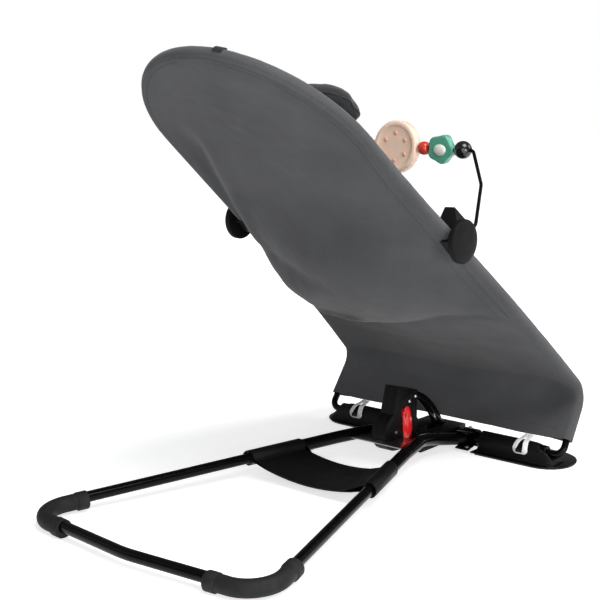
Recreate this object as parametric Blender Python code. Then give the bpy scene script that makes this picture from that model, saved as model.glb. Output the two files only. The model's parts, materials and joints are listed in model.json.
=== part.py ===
"""Baby rocker: a folding steel-tube base, a latched seat rod with a padded cloth seat, and a toy bar.

Metres, +Z up, floor at z = 0. The sizes below are measured from the middle of the front foot's
plates; the whole stands under one empty that puts the origin in the middle of the footprint.
The knee end of the seat faces -Y and the head faces +Y. Left is +X, the lying child's left.
"""

from math import acos, atan2, cos, hypot, pi, radians, sin, sqrt, tan

import bmesh
import bpy
import numpy as np

MM = 0.001
GAP = 0.3 * MM                      # clearance between pieces that touch

MIDDLE_Y = 0.2743                   # middle of the footprint, behind the middle of the front foot

# Base frame
REAR_TUBE_RADIUS = 6.5 * MM
TUBE_WALL = 1.2 * MM
FRONT_TUBE_RADIUS = 8.0 * MM
FRONT_TUBE_BORE = REAR_TUBE_RADIUS + GAP
LEG_FRONT = np.array([0.0525, 0.1600, 0.0309])
LEG_CORNER = np.array([0.1803, 0.5650, 0.0130])
CROSSBAR_BOW = 0.0160
CORNER_BEND = 0.036
MIDDLE_BEND = 0.150
SOCKET_Y = 0.2928                   # rear end of the front tube, where the rear tube goes in
PLUG_Y = 0.1880                     # front end of the rear tube inside it
SNAP_Y = 0.2050
SLEEVE_RADIUS = 10.8 * MM
SLEEVE_CUFF = 14.0 * MM
SLEEVE_DROP = 2.9 * MM              # sleeve centre below the tube centre
SLEEVE_REACH = 0.071                # sleeve length along each side of the corner
SPREADER_FRONT_Y = 0.2208
SPREADER_SAG = 12.0 * MM
SPREADER_FRONT_SAG = 8.0 * MM
SPREADER_THICKNESS = 2.6 * MM
COLLAR_WALL = 1.5 * MM
PLATE_STEEL = 1.8 * MM
STEEL_FRONT_Y = 0.1160
STEEL_REAR_Y = 0.1560

# Foot
FOOT_HALF_WIDTH = 0.1870            # corner of the seat rod's foot
FOOT_BEND = 0.012
AXLE_Y = 0.0160
AXLE_Z = 0.0165
FOOT_TUBE_RADIUS = 9.0 * MM
FOOT_TUBE_BORE = 7.8 * MM
TUBE_END_MARGIN = 11.0 * MM         # end of the foot tube short of the rod's bend
FOOT_TUBE_HALF = FOOT_HALF_WIDTH - FOOT_BEND - TUBE_END_MARGIN
CRANK_SLOT_HALF = 9.0 * MM
PLATE_OVERHANG = 8.0 * MM           # plate tip beyond the rod's foot
PLATE_TIP_X = FOOT_HALF_WIDTH + PLATE_OVERHANG
PLATE_TIP_RADIUS = 0.0383
PLATE_INNER_X = 0.0640
PAD_HEIGHT = 1.4 * MM
PLATE_THICKNESS = 2.0 * MM
COVER_RADIUS = 11.3 * MM
COVER_FLARE = 17.5 * MM
CLAMP_X = 0.0522
CLAMP_WIDTH = 20.0 * MM
CLAMP_TAIL_Y = 0.0400
STRAP_THICKNESS = 2.0 * MM
ELASTIC_INSET = 30.5 * MM           # elastic loop from the end of the foot tube
ELASTIC_X = FOOT_TUBE_HALF - ELASTIC_INSET
HOOK_Y = 0.0319
HOOK_Z = 0.0190
HOOK_THICKNESS = 1.8 * MM
ELASTIC_WIDTH = 5.4 * MM
ELASTIC_THICKNESS = 1.2 * MM
HOUSING_HALF = 0.0310
HOUSING_LOW = 0.0075
HOUSING_TOP = 0.0272

# Seat rod
ROD_RADIUS = 4.5 * MM
KNEE_HALF_WIDTH = 0.1843
KNEE_Y = -0.0347
KNEE_Z = 0.0894
KNEE_BEND = 0.028
INCLINE = radians(40.43)
SEAT_LENGTH = 0.6611
WIDTH_SPLIT = 0.7865                # share of the length where the head bow begins
BOW_HALF_WIDTH = 0.1366
BOW_POWER = 2.05
BULGE = 0.0114

# Hub and lever
PIN_REACH = 0.0952                  # crank pin from the axle
PIN_ANGLE = radians(43.4)
PIN_RADIUS = 2.5 * MM
NOTCH_STEP = radians(7.5)
NOTCH_DEPTH = 2.2 * MM
PAWL_CLEARANCE = 0.45 * MM          # tooth tips outside the path of the pin
PAWL_BACK = 6.9 * MM                # back of the pawl outside the path of the pin
HUB_HALF = 10.5 * MM
HUB_CHEEK = 2.4 * MM
LEVER_PIVOT_Y = 0.1280
LEVER_PIVOT_Z = 0.0400
LOBE_RADIUS = 0.0240
LEVER_PIN_RADIUS = 2.0 * MM
PAWL_HALF = 3.2 * MM
ARM_INNER = 4.2 * MM
ARM_THICKNESS = 2.4 * MM

# Cloth
CLOTH_THICKNESS = 2.4 * MM
ROLL_RADIUS = ROD_RADIUS + 0.8 * MM + CLOTH_THICKNESS / 2
HEM_BAND = 11.0 * MM
COVER_SEAM = 1.2 * MM               # rear cloth's edge beyond the hem band
COVER_HEM_S = 0.180                 # rear cloth's lower hem, along the seat
COVER_HEM_RISE = 0.008              # how much higher that hem is in the middle
COVER_SLACK = 0.007                 # rear cloth behind the seat cloth
COVER_SWELL = 0.026                 # further depth of its belly
COVER_SWELL_LENGTH = 0.26           # the belly's reach along the seat
COVER_FULLNESS = 3.6                # higher is fuller near the rails
SLING_ACROSS = 5
FLAP_THICKNESS = 3.0 * MM
LOWER_HEM_Z = 0.0340
FLAP_START_S = 0.060
FLAP_LENGTH = 0.240
FLAP_NECK = 0.030                   # half width at the lower end
FLAP_FLARE = 0.040                  # further half width at the upper end
FLAP_FLARE_S = 0.185
TAB_X = 0.0360
TAB_WIDTH = 24.0 * MM
TAB_THICKNESS = 1.6 * MM
PILLOW_S = 0.5480
PILLOW_LENGTH = 0.2680
PILLOW_WIDTH = 0.0800
PILLOW_HEIGHT = 0.0400

# Toy bar
CLIP_SHARE = 0.512                  # place of the clips along the seat
CAP_RADIUS = 0.0250
CAP_DEPTH = 10.5 * MM
CAP_BACK = 11.0 * MM                # inner face of the cap beyond the rail's centre
STUD_RADIUS = 2.6 * MM
CLIP_LENGTH = 0.026
CLIP_RISE = 0.0365                  # top of the clip's bracket above the rail
CLIP_WALL = 1.5 * MM
WIRE_RADIUS = 2.1 * MM
TOY_ARM_BEND = (0.1400, 0.1400, 0.3660)
TOY_Y = 0.1150
TOY_Z = 0.4030
BALL_X = 0.0975
WIRE_CORNER_X = 0.1120
BALL_RADIUS = 0.0110

AXLE = np.array([0.0, AXLE_Y, AXLE_Z])


# General helpers

def unit(v):
    return np.asarray(v, float) / np.linalg.norm(v)


def mirrored(points, side):
    return [np.array([side * p[0], p[1], p[2]]) for p in points]


def clear_scene():
    for obj in list(bpy.data.objects):
        bpy.data.objects.remove(obj)
    stand = bpy.data.objects.new("stand", None)
    stand.location = (0, -MIDDLE_Y, 0)
    bpy.context.scene.collection.objects.link(stand)


def paint(obj, name, color, roughness, metallic=0.0, sheen=0.0):
    material = bpy.data.materials.get(name) or bpy.data.materials.new(name)
    material.use_nodes = True
    shader = material.node_tree.nodes["Principled BSDF"]
    shader.inputs["Base Color"].default_value = (*color, 1.0)
    shader.inputs["Roughness"].default_value = roughness
    shader.inputs["Metallic"].default_value = metallic
    shader.inputs["Sheen Weight"].default_value = sheen
    obj.data.materials.append(material)
    return obj


def black_steel(obj):
    return paint(obj, obj.name + "_black_steel", (0.012, 0.012, 0.013), 0.28, 0.3)


def bright_steel(obj):
    return paint(obj, obj.name + "_bright_steel", (0.62, 0.63, 0.64), 0.25, 1.0)


def dark_plastic(obj):
    return paint(obj, obj.name + "_dark_plastic", (0.020, 0.020, 0.022), 0.55)


def gloss_plastic(obj, color):
    return paint(obj, obj.name + "_gloss", color, 0.22)


def rubber(obj):
    return paint(obj, obj.name + "_rubber", (0.028, 0.028, 0.030), 0.75)


def cloth(obj, color):
    return paint(obj, obj.name + "_cloth", color, 0.9, 0.0, 0.3)


def solid(name, verts, faces, origin=(0, 0, 0)):
    """A closed mesh object whose origin stands at the given place."""
    origin = np.asarray(origin, float)
    mesh = bpy.data.meshes.new(name)
    mesh.from_pydata([tuple(np.asarray(v, float) - origin) for v in verts], [], faces)
    shape = bmesh.new()
    shape.from_mesh(mesh)
    bmesh.ops.remove_doubles(shape, verts=shape.verts, dist=1e-7)
    bmesh.ops.recalc_face_normals(shape, faces=shape.faces)
    shape.to_mesh(mesh)
    shape.free()
    mesh.shade_smooth()
    mesh.set_sharp_from_angle(angle=radians(38))
    obj = bpy.data.objects.new(name, mesh)
    obj.location = origin
    obj.parent = bpy.data.objects["stand"]
    bpy.context.scene.collection.objects.link(obj)
    return obj


def bevelled(obj, width, segments=1, angle=40):
    modifier = obj.modifiers.new("edges", "BEVEL")
    modifier.width = width
    modifier.segments = segments
    modifier.limit_method = "ANGLE"
    modifier.angle_limit = radians(angle)
    modifier.harden_normals = False
    return obj


def cutter(obj):
    obj.hide_render = True
    obj.display_type = "WIRE"
    return obj


def joined(obj, tool, operation="DIFFERENCE"):
    modifier = obj.modifiers.new(operation.lower(), "BOOLEAN")
    modifier.operation = operation
    modifier.solver = "EXACT"
    modifier.object = cutter(tool)
    return obj


def rounded_path(points, radii, steps=5):
    """A polyline with an arc of the given radius at each inner corner; radius 0 keeps the corner."""
    points = [np.asarray(p, float) for p in points]
    path = [points[0]]
    for before, corner, after, radius in zip(points, points[1:], points[2:], radii):
        back = unit(before - corner)
        onward = unit(after - corner)
        half = 0.5 * acos(float(np.clip(back @ onward, -1, 1)))
        if radius == 0 or half > radians(89.5):
            path.append(corner)
            continue
        reach = radius / tan(half)
        centre = corner + unit(back + onward) * radius / sin(half)
        start = corner + back * reach - centre
        end = corner + onward * reach - centre
        turn = pi - 2 * half
        for i in range(steps + 1):
            share = i / steps
            mix = sin((1 - share) * turn) * start + sin(share * turn) * end
            path.append(centre + mix / sin(turn))
    path.append(points[-1])
    return path


def smooth_path(points, steps=4):
    """A Catmull-Rom curve through the points."""
    points = [np.asarray(p, float) for p in points]
    padded = [2 * points[0] - points[1]] + points + [2 * points[-1] - points[-2]]
    path = []
    for a, b, c, d in zip(padded, padded[1:], padded[2:], padded[3:]):
        for i in range(steps):
            t = i / steps
            path.append(0.5 * (2 * b + (c - a) * t + (2 * a - 5 * b + 4 * c - d) * t * t
                               + (3 * b - a - 3 * c + d) * t ** 3))
    path.append(points[-1])
    return path


def frames_along(path, up):
    """For each point its side and up directions, square to the path."""
    path = [np.asarray(p, float) for p in path]
    frames = []
    normal = np.asarray(up, float)
    for i, point in enumerate(path):
        before = path[max(i - 1, 0)]
        after = path[min(i + 1, len(path) - 1)]
        if 0 < i < len(path) - 1:
            tangent = unit(unit(point - before) + unit(after - point))
        else:
            tangent = unit(after - before)
        normal = unit(normal - (normal @ tangent) * tangent)
        frames.append((np.cross(tangent, normal), normal))
    return frames


def circle(radius, count, centre=(0.0, 0.0)):
    angles = [2 * pi * (i + 0.5) / count for i in range(count)]
    return [(centre[0] + radius * cos(a), centre[1] + radius * sin(a)) for a in angles]


def rounded_box(width, height, radius, steps=2):
    """Outline of a rectangle with rounded corners, centred on zero."""
    outline = []
    for corner, (sx, sy) in enumerate(((1, 1), (-1, 1), (-1, -1), (1, -1))):
        for i in range(steps + 1):
            angle = pi / 2 * (corner + i / steps)
            outline.append((sx * (width / 2 - radius) + radius * cos(angle),
                            sy * (height / 2 - radius) + radius * sin(angle)))
    return outline


def swept_rings(path, outlines, up):
    rings = []
    for point, (side, normal), outline in zip(path, frames_along(path, up), outlines):
        rings.append([point + a * side + b * normal for a, b in outline])
    return rings


def ring_faces(start, rings, count, closed=False):
    faces = []
    for i in range(rings if closed else rings - 1):
        for j in range(count):
            a = start + i * count
            b = start + ((i + 1) % rings) * count
            k = (j + 1) % count
            faces.append((a + j, a + k, b + k, b + j))
    return faces


def bar(name, path, outline, up=(0, 0, 1), origin=(0, 0, 0), outlines=None):
    """A solid bar along a path."""
    outlines = outlines or [outline] * len(path)
    rings = swept_rings(path, outlines, up)
    count = len(rings[0])
    verts = [p for ring in rings for p in ring]
    faces = ring_faces(0, len(rings), count)
    faces.append(tuple(range(count)))
    faces.append(tuple(len(verts) - count + j for j in range(count)))
    return solid(name, verts, faces, origin)


def pipe(name, path, outer, inner, up=(0, 0, 1), origin=(0, 0, 0), floor=None):
    """A bar with an open bore; outer and inner are one outline or one for each point."""
    outer = outer if isinstance(outer[0][0], tuple) else [outer] * len(path)
    inner = inner if isinstance(inner[0][0], tuple) else [inner] * len(path)
    outer_rings = swept_rings(path, outer, up)
    inner_rings = swept_rings(path, inner, up)
    if floor is not None:
        for ring in outer_rings:
            for p in ring:
                p[2] = max(p[2], floor)
    count = len(outer_rings[0])
    verts = [p for ring in outer_rings for p in ring] + [p for ring in inner_rings for p in ring]
    total = len(path) * count
    faces = ring_faces(0, len(path), count) + ring_faces(total, len(path), count)
    for end in (0, (len(path) - 1) * count):
        for j in range(count):
            k = (j + 1) % count
            faces.append((end + j, end + k, total + end + k, total + end + j))
    return solid(name, verts, faces, origin)


def turned(name, profile, centre, axis, segments=20, closed=False, origin=None):
    """A lathe shape. The profile lists (radius, distance along the axis); a zero radius is a pole."""
    axis = unit(axis)
    side = unit(np.cross(axis, (0, 0, 1) if abs(axis[2]) < 0.9 else (0, 1, 0)))
    other = np.cross(axis, side)
    centre = np.asarray(centre, float)
    verts = []
    rows = []
    for radius, along in profile:
        if radius == 0:
            rows.append([len(verts)] * segments)
            verts.append(centre + along * axis)
            continue
        rows.append([len(verts) + j for j in range(segments)])
        for j in range(segments):
            angle = 2 * pi * (j + 0.5) / segments
            verts.append(centre + along * axis + radius * (cos(angle) * side + sin(angle) * other))
    faces = []
    pairs = list(zip(rows, rows[1:])) + ([(rows[-1], rows[0])] if closed else [])
    for low, high in pairs:
        for j in range(segments):
            k = (j + 1) % segments
            corners = []
            for index in (low[j], low[k], high[k], high[j]):
                if index not in corners:
                    corners.append(index)
            if len(corners) > 2:
                faces.append(tuple(corners))
    return solid(name, verts, faces, centre if origin is None else origin)


def slab(name, outline, low, high, plane="YZ", origin=(0, 0, 0)):
    """A flat piece: an outline in the named plane, between two places on the third axis."""
    count = len(outline)
    verts = []
    for level in (low, high):
        for a, b in outline:
            if plane == "YZ":
                verts.append((level, a, b))
            elif plane == "XY":
                verts.append((a, b, level))
            else:
                verts.append((a, level, b))
    faces = ring_faces(0, 2, count)
    faces.append(tuple(range(count)))
    faces.append(tuple(range(count, 2 * count)))
    return solid(name, verts, faces, origin)


def block(name, low, high, origin=(0, 0, 0)):
    outline = [(low[0], low[1]), (high[0], low[1]), (high[0], high[1]), (low[0], high[1])]
    return slab(name, outline, low[2], high[2], "XY", origin)


def offset_outline(path, half_width):
    """The outline of a flat strip that follows a path in its plane, with rounded ends."""
    path = [np.asarray(p, float) for p in path]
    left = []
    right = []
    for i, p in enumerate(path):
        d = unit(path[min(i + 1, len(path) - 1)] - path[max(i - 1, 0)])
        across = np.array([-d[1], d[0]]) * half_width
        left.append(p + across)
        right.append(p - across)
    caps = []
    for end, inner in ((path[-1], path[-2]), (path[0], path[1])):
        heading = atan2(*(end - inner)[::-1])
        caps.append([end + half_width * np.array([cos(heading + a), sin(heading + a)])
                     for a in (pi / 4, 0, -pi / 4)])
    outline = left + caps[0] + right[::-1] + caps[1]
    return [tuple(p) for p in outline]


# Base frame

def leg_point(y):
    share = (y - LEG_FRONT[1]) / (LEG_CORNER[1] - LEG_FRONT[1])
    return LEG_FRONT + share * (LEG_CORNER - LEG_FRONT)


def crossbar_point(x):
    return np.array([x, LEG_CORNER[1] + CROSSBAR_BOW * (1 - abs(x) / LEG_CORNER[0]), LEG_CORNER[2]])


def build_rear_tube():
    left = [leg_point(PLUG_Y), LEG_CORNER]
    points = left + [crossbar_point(0.0)] + mirrored(left[::-1], -1)
    path = rounded_path(points, [CORNER_BEND, MIDDLE_BEND, CORNER_BEND], 8)
    tube = pipe("rear_frame_tube", path, circle(REAR_TUBE_RADIUS, 14),
                circle(REAR_TUBE_RADIUS - TUBE_WALL, 14))
    for side, name in ((1, "left"), (-1, "right")):
        x, y, z = leg_point(SNAP_Y)
        joined(tube, turned("rear_button_hole_" + name, [(0, -0.012), (2.9 * MM, -0.012),
                            (2.9 * MM, 0), (0, 0)], (side * x, y, z), (0, 0, 1), 12))
    black_steel(tube)


def build_corner_sleeve(side, name):
    """A rubber elbow over the tube's bend, thicker at both ends and flat where it stands on the floor."""
    along_bar = unit(crossbar_point(0.0) - LEG_CORNER)
    along_leg = unit(leg_point(PLUG_Y) - LEG_CORNER)
    ends = [LEG_CORNER + along_leg * SLEEVE_REACH, LEG_CORNER, LEG_CORNER + along_bar * SLEEVE_REACH]
    bend = rounded_path(ends, [CORNER_BEND], 8)
    cuff = SLEEVE_CUFF
    first = [bend[0], bend[0] - along_leg * cuff, bend[0] - along_leg * (cuff + 1.5 * MM)]
    last = [bend[-1] - along_bar * (cuff + 1.5 * MM), bend[-1] - along_bar * cuff, bend[-1]]
    path = first + bend[1:-1] + last
    wide = circle(SLEEVE_RADIUS, 20, (0, -SLEEVE_DROP))
    slim = circle(SLEEVE_RADIUS - 1.2 * MM, 20, (0, -SLEEVE_DROP + 0.4 * MM))
    outer = [wide, wide] + [slim] * (len(path) - 4) + [wide, wide]
    sleeve = pipe("corner_sleeve_" + name, mirrored(path, side), outer,
                  circle(REAR_TUBE_RADIUS + GAP, 20), floor=0.0)
    rubber(sleeve)


def front_tube_path():
    straight = [leg_point(SOCKET_Y), leg_point(0.245)]
    bends = [leg_point(0.1700), (0.0455, 0.1350, 0.0308), (0.0385, 0.1120, 0.0300), (0.0357, 0.0870, 0.0262),
             (0.0366, 0.0660, 0.0216), (0.0418, 0.0450, 0.0180), (0.0490, 0.0300, 0.0165)]
    return straight + smooth_path(bends, 3)


def build_front_tube(side, name):
    path = mirrored(front_tube_path(), side)
    tube = pipe("front_tube_" + name, path, circle(FRONT_TUBE_RADIUS, 16), circle(FRONT_TUBE_BORE, 16))
    x, y, z = leg_point(SNAP_Y)
    joined(tube, turned("front_button_hole_" + name, [(0, -0.012), (2.9 * MM, -0.012), (2.9 * MM, 0), (0, 0)],
                        (side * x, y, z), (0, 0, 1), 12))
    black_steel(tube)


def build_snap(side, name):
    x, y, z = leg_point(SNAP_Y)
    place = (side * x, y, z)
    button = turned("snap_button_" + name,
                    [(0, -9.8 * MM), (1.6 * MM, -9.5 * MM), (2.5 * MM, -8.6 * MM), (2.5 * MM, -3.6 * MM),
                     (3.4 * MM, -3.6 * MM), (3.4 * MM, -2.4 * MM), (1.2 * MM, -2.4 * MM),
                     (1.2 * MM, -1.2 * MM), (0, -1.2 * MM)], place, (0, 0, 1), 12)
    bright_steel(button)
    curls = 4
    low = -2.0 * MM
    high = 4.2 * MM
    points = []
    for i in range(curls * 8 + 1):
        turn = 2 * pi * i / 8
        points.append(np.array(place) + np.array([2.0 * MM * cos(turn), 2.0 * MM * sin(turn),
                                                  low + (high - low) * i / (curls * 8)]))
    bright_steel(bar("snap_spring_" + name, points, circle(0.25 * MM, 5), (0, 0, 1), place))


def build_spreader():
    """One moulded piece: a hanging plate between two collars that clasp the front tubes."""
    rows = 5
    columns = 12
    forward = LEG_CORNER[1] - LEG_FRONT[1]
    slant = hypot(LEG_CORNER[0] - LEG_FRONT[0], forward) / forward
    wrap = FRONT_TUBE_RADIUS + GAP + 0.15 * MM + COLLAR_WALL / 2
    outer = []
    inner = []
    for i in range(rows):
        y = SPREADER_FRONT_Y + (SOCKET_Y - SPREADER_FRONT_Y) * i / (rows - 1)
        centre = leg_point(y)
        half = centre[0]
        deep = SPREADER_FRONT_SAG + (SPREADER_SAG - SPREADER_FRONT_SAG) * i / (rows - 1)
        section = []
        for j in range(15):
            angle = radians(-90 + 290 * j / 14)
            section.append((half + wrap * slant * cos(angle), centre[2] + wrap * sin(angle), COLLAR_WALL))
        plate = []
        start = section[-1][0]
        start_z = section[-1][1]
        for j in range(1, columns // 2 + 1):
            share = 0.06 + 0.94 * j / (columns // 2)
            x = start * (1 - share)
            sag = deep * (1 - (x / start) ** 2)
            plate.append((x, start_z - sag, SPREADER_THICKNESS))
        half_line = section + plate
        line = half_line + [(-x, z, t) for x, z, t in half_line[-2::-1]]
        top = []
        under = []
        for k, (x, z, t) in enumerate(line):
            x0, z0, _ = line[max(k - 1, 0)]
            x1, z1, _ = line[min(k + 1, len(line) - 1)]
            length = hypot(x1 - x0, z1 - z0)
            nx = -(z1 - z0) / length
            nz = (x1 - x0) / length
            top.append((x + nx * t / 2, y, z + nz * t / 2))
            under.append((x - nx * t / 2, y, z - nz * t / 2))
        outer.append(top)
        inner.append(under)
    count = len(outer[0])
    verts = []
    for top, under in zip(outer, inner):
        verts += top + under[::-1]
    ring = 2 * count
    faces = ring_faces(0, rows, ring)
    for end, row in ((0, 0), ((rows - 1) * ring, rows - 1)):
        for j in range(count - 1):
            faces.append((end + j, end + j + 1, end + ring - 2 - j, end + ring - 1 - j))
    dark_plastic(solid("leg_spreader", verts, faces))


def front_tube_x(y):
    """Distance of the left front tube's centre from the middle, at the given place along the base."""
    path = front_tube_path()
    for a, b in zip(path, path[1:]):
        if b[1] <= y <= a[1]:
            return b[0] + (a[0] - b[0]) * (y - b[1]) / (a[1] - b[1])
    return path[-1][0]


def build_cross_plate():
    """Flat steel plate let in between the front tubes, slotted for the hub."""
    under = LEG_FRONT[2] - 1.4 * MM
    slot = HUB_HALF + GAP
    slot_end = LEVER_PIVOT_Y + LOBE_RADIUS + GAP
    edge = []
    for i in range(4):
        y = STEEL_FRONT_Y + (STEEL_REAR_Y - STEEL_FRONT_Y) * i / 3
        edge.append((front_tube_x(y) - (FRONT_TUBE_RADIUS + GAP) * 1.045, y))
    outline = edge + [(-x, y) for x, y in edge[::-1]]
    outline += [(-slot, STEEL_FRONT_Y), (-slot, slot_end), (slot, slot_end), (slot, STEEL_FRONT_Y)]
    bright_steel(slab("cross_plate", outline, under, under + PLATE_STEEL, "XY"))


# Foot

def build_foot_tube():
    path = [(-FOOT_TUBE_HALF, AXLE_Y, AXLE_Z), (FOOT_TUBE_HALF, AXLE_Y, AXLE_Z)]
    path = [np.array(p) for p in path]
    tube = pipe("foot_crossbar", path, circle(FOOT_TUBE_RADIUS, 24), circle(FOOT_TUBE_BORE, 24))
    joined(tube, block("crank_slot", (-CRANK_SLOT_HALF, AXLE_Y - 0.0045, AXLE_Z - 0.0035),
                       (CRANK_SLOT_HALF, AXLE_Y + 0.020, AXLE_Z + 0.020)))
    black_steel(tube)


def build_bush(side, name):
    outer = FOOT_TUBE_BORE - GAP
    bore = ROD_RADIUS + GAP
    end = FOOT_TUBE_HALF
    profile = [(bore, -0.018), (outer, -0.018), (outer, GAP), (FOOT_TUBE_RADIUS, GAP),
               (FOOT_TUBE_RADIUS, 2.2 * MM), (bore, 2.2 * MM)]
    dark_plastic(turned("axle_bush_" + name, profile, (side * end, AXLE_Y, AXLE_Z), (side, 0, 0), 20, True))


def stadium_half(inset, inner_x):
    """Outline of one foot plate: straight inner end, round outer tip."""
    radius = PLATE_TIP_RADIUS - inset
    centre = PLATE_TIP_X - PLATE_TIP_RADIUS
    outline = [(inner_x + inset, -radius)]
    for i in range(13):
        angle = -pi / 2 + pi * i / 12
        outline.append((centre + radius * cos(angle), radius * sin(angle)))
    outline.append((inner_x + inset, radius))
    return outline


def build_foot_end(side, name):
    def place(outline):
        return [(side * x, y) for x, y in outline]

    sole = place(stadium_half(2.0 * MM, PLATE_INNER_X + 4 * MM))
    rubber(slab("foot_pad_" + name, sole, 0.0, PAD_HEIGHT, "XY"))
    low = PAD_HEIGHT + GAP
    sheet = place(stadium_half(0, PLATE_INNER_X))
    plate = slab("wing_plate_" + name, sheet, low, low + PLATE_THICKNESS, "XY")
    black_steel(bevelled(plate, 0.5 * MM))

    # Ridge cover: an arch over the foot tube that slopes down to the plate at its tip.
    base = low + PLATE_THICKNESS + GAP
    crown = AXLE_Z + FOOT_TUBE_RADIUS + GAP + 2.4 * MM
    root = PLATE_INNER_X + 6.0 * MM
    nose = PLATE_TIP_X - 14.0 * MM
    stations = [(root, 1.0, 1.0), ((root + nose) / 2, 1.0, 1.0), (nose - 46 * MM, 1.0, 1.0),
                (nose - 31 * MM, 0.97, 1.0), (nose - 19 * MM, 0.86, 0.98), (nose - 10 * MM, 0.62, 0.93),
                (nose - 4 * MM, 0.36, 0.86), (nose, 0.14, 0.74)]
    flank = ((COVER_FLARE, 0.0), (COVER_FLARE * 0.78, 0.10), (COVER_RADIUS + 0.6 * MM, 0.28),
             (COVER_RADIUS, 0.49), (COVER_RADIUS * 0.868, 0.745), (COVER_RADIUS * 0.505, 0.925))
    foot_level = base + 1.2 * MM
    rings = []
    for x, rise, spread in stations:
        top = base + (crown - base) * rise
        front = [(-1.2 * y if share < 0.2 else -y, share) for y, share in flank]
        section = []
        for y, share in front + [(0.0, 1.0)] + list(flank[::-1]):
            section.append((side * x, AXLE_Y + y * spread, foot_level + (top - foot_level) * share))
        under = [(side * x, section[-1][1], base), (side * x, section[0][1], base)]
        rings.append(section + under)
    count = len(rings[0])
    verts = [p for ring in rings for p in ring]
    faces = ring_faces(0, len(rings), count)
    faces += [tuple(range(count)), tuple(range(len(verts) - count, len(verts)))]
    cover = solid("wing_cover_" + name, verts, faces)
    reach = FOOT_TUBE_HALF + 2.2 * MM + GAP
    slot = sorted((side * (FOOT_TUBE_HALF - 5.8 * MM), side * (PLATE_TIP_X + 5.0 * MM)))
    joined(cover, block("cover_slot_" + name, (slot[0], AXLE_Y - 7.7 * MM, AXLE_Z - 6.1 * MM),
                        (slot[1], AXLE_Y + 7.7 * MM, AXLE_Z + 0.030)))
    joined(cover, turned("cover_bore_" + name, [(0, 0.05), (FOOT_TUBE_RADIUS + GAP, 0.05),
                                                (FOOT_TUBE_RADIUS + GAP, reach), (0, reach)],
                         (0, AXLE_Y, AXLE_Z), (side, 0, 0), 24))
    # Tongue for the elastic loop on the rear slope, turned down at its end.
    x = side * ELASTIC_X
    root = AXLE_Y + FOOT_TUBE_RADIUS + GAP + 0.6 * MM
    turns = [(x, root, HOOK_Z), (x, HOOK_Y, HOOK_Z), (x, HOOK_Y, HOOK_Z - 4.0 * MM)]
    tongue = rounded_path(turns, [1.2 * MM], 3)
    hook = bar("elastic_tongue_" + name, tongue, rounded_box(9 * MM, HOOK_THICKNESS, 0.5 * MM, 1), (0, 0, 1))
    joined(cover, hook, "UNION")
    dark_plastic(cover)


def build_clamp(side, name):
    """A strap bent round the foot tube, with two tails that hold the end of the front tube."""
    x0 = CLAMP_X - CLAMP_WIDTH / 2
    inner = FOOT_TUBE_RADIUS + GAP + 0.2 * MM
    outer_line = []
    inner_line = []
    for i in range(13):
        angle = radians(50 + 260 * i / 12)
        outer_line.append((AXLE_Y + (inner + STRAP_THICKNESS) * cos(angle),
                           AXLE_Z + (inner + STRAP_THICKNESS) * sin(angle)))
        inner_line.append((AXLE_Y + inner * cos(angle), AXLE_Z + inner * sin(angle)))
    rise = inner + 0.7 * MM
    outline = [(CLAMP_TAIL_Y, AXLE_Z + rise), (CLAMP_TAIL_Y, AXLE_Z + rise + STRAP_THICKNESS)]
    outline += outer_line
    outline += [(CLAMP_TAIL_Y, AXLE_Z - rise - STRAP_THICKNESS), (CLAMP_TAIL_Y, AXLE_Z - rise)]
    outline += inner_line[::-1]
    strap = slab("tube_clamp_" + name, outline, side * x0, side * (x0 + CLAMP_WIDTH), "YZ")
    crown = AXLE_Z + inner + STRAP_THICKNESS
    rear_x = x0 + CLAMP_WIDTH - 4.2 * MM
    rivets = (("top", CLAMP_X - 2.0 * MM, AXLE_Y, crown),
              ("rear", rear_x, CLAMP_TAIL_Y - 4.5 * MM, AXLE_Z - rise + 1.4 * MM))
    for tag, x, y, z in rivets:
        hole = turned(f"clamp_hole_{tag}_{name}",
                      [(0, -4 * MM), (1.9 * MM, -4 * MM), (1.9 * MM, 6 * MM), (0, 6 * MM)],
                      (side * x, y, z), (0, 0, 1), 12)
        joined(strap, hole)
        rivet = turned(f"clamp_rivet_{tag}_{name}",
                       [(0, -1.8 * MM), (1.5 * MM, -1.8 * MM), (1.5 * MM, GAP), (3.2 * MM, GAP),
                        (2.9 * MM, 1.3 * MM), (1.7 * MM, 2.0 * MM), (0, 2.2 * MM)],
                       (side * x, y, z), (0, 0, 1), 14)
        bright_steel(rivet)
    black_steel(strap)


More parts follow.
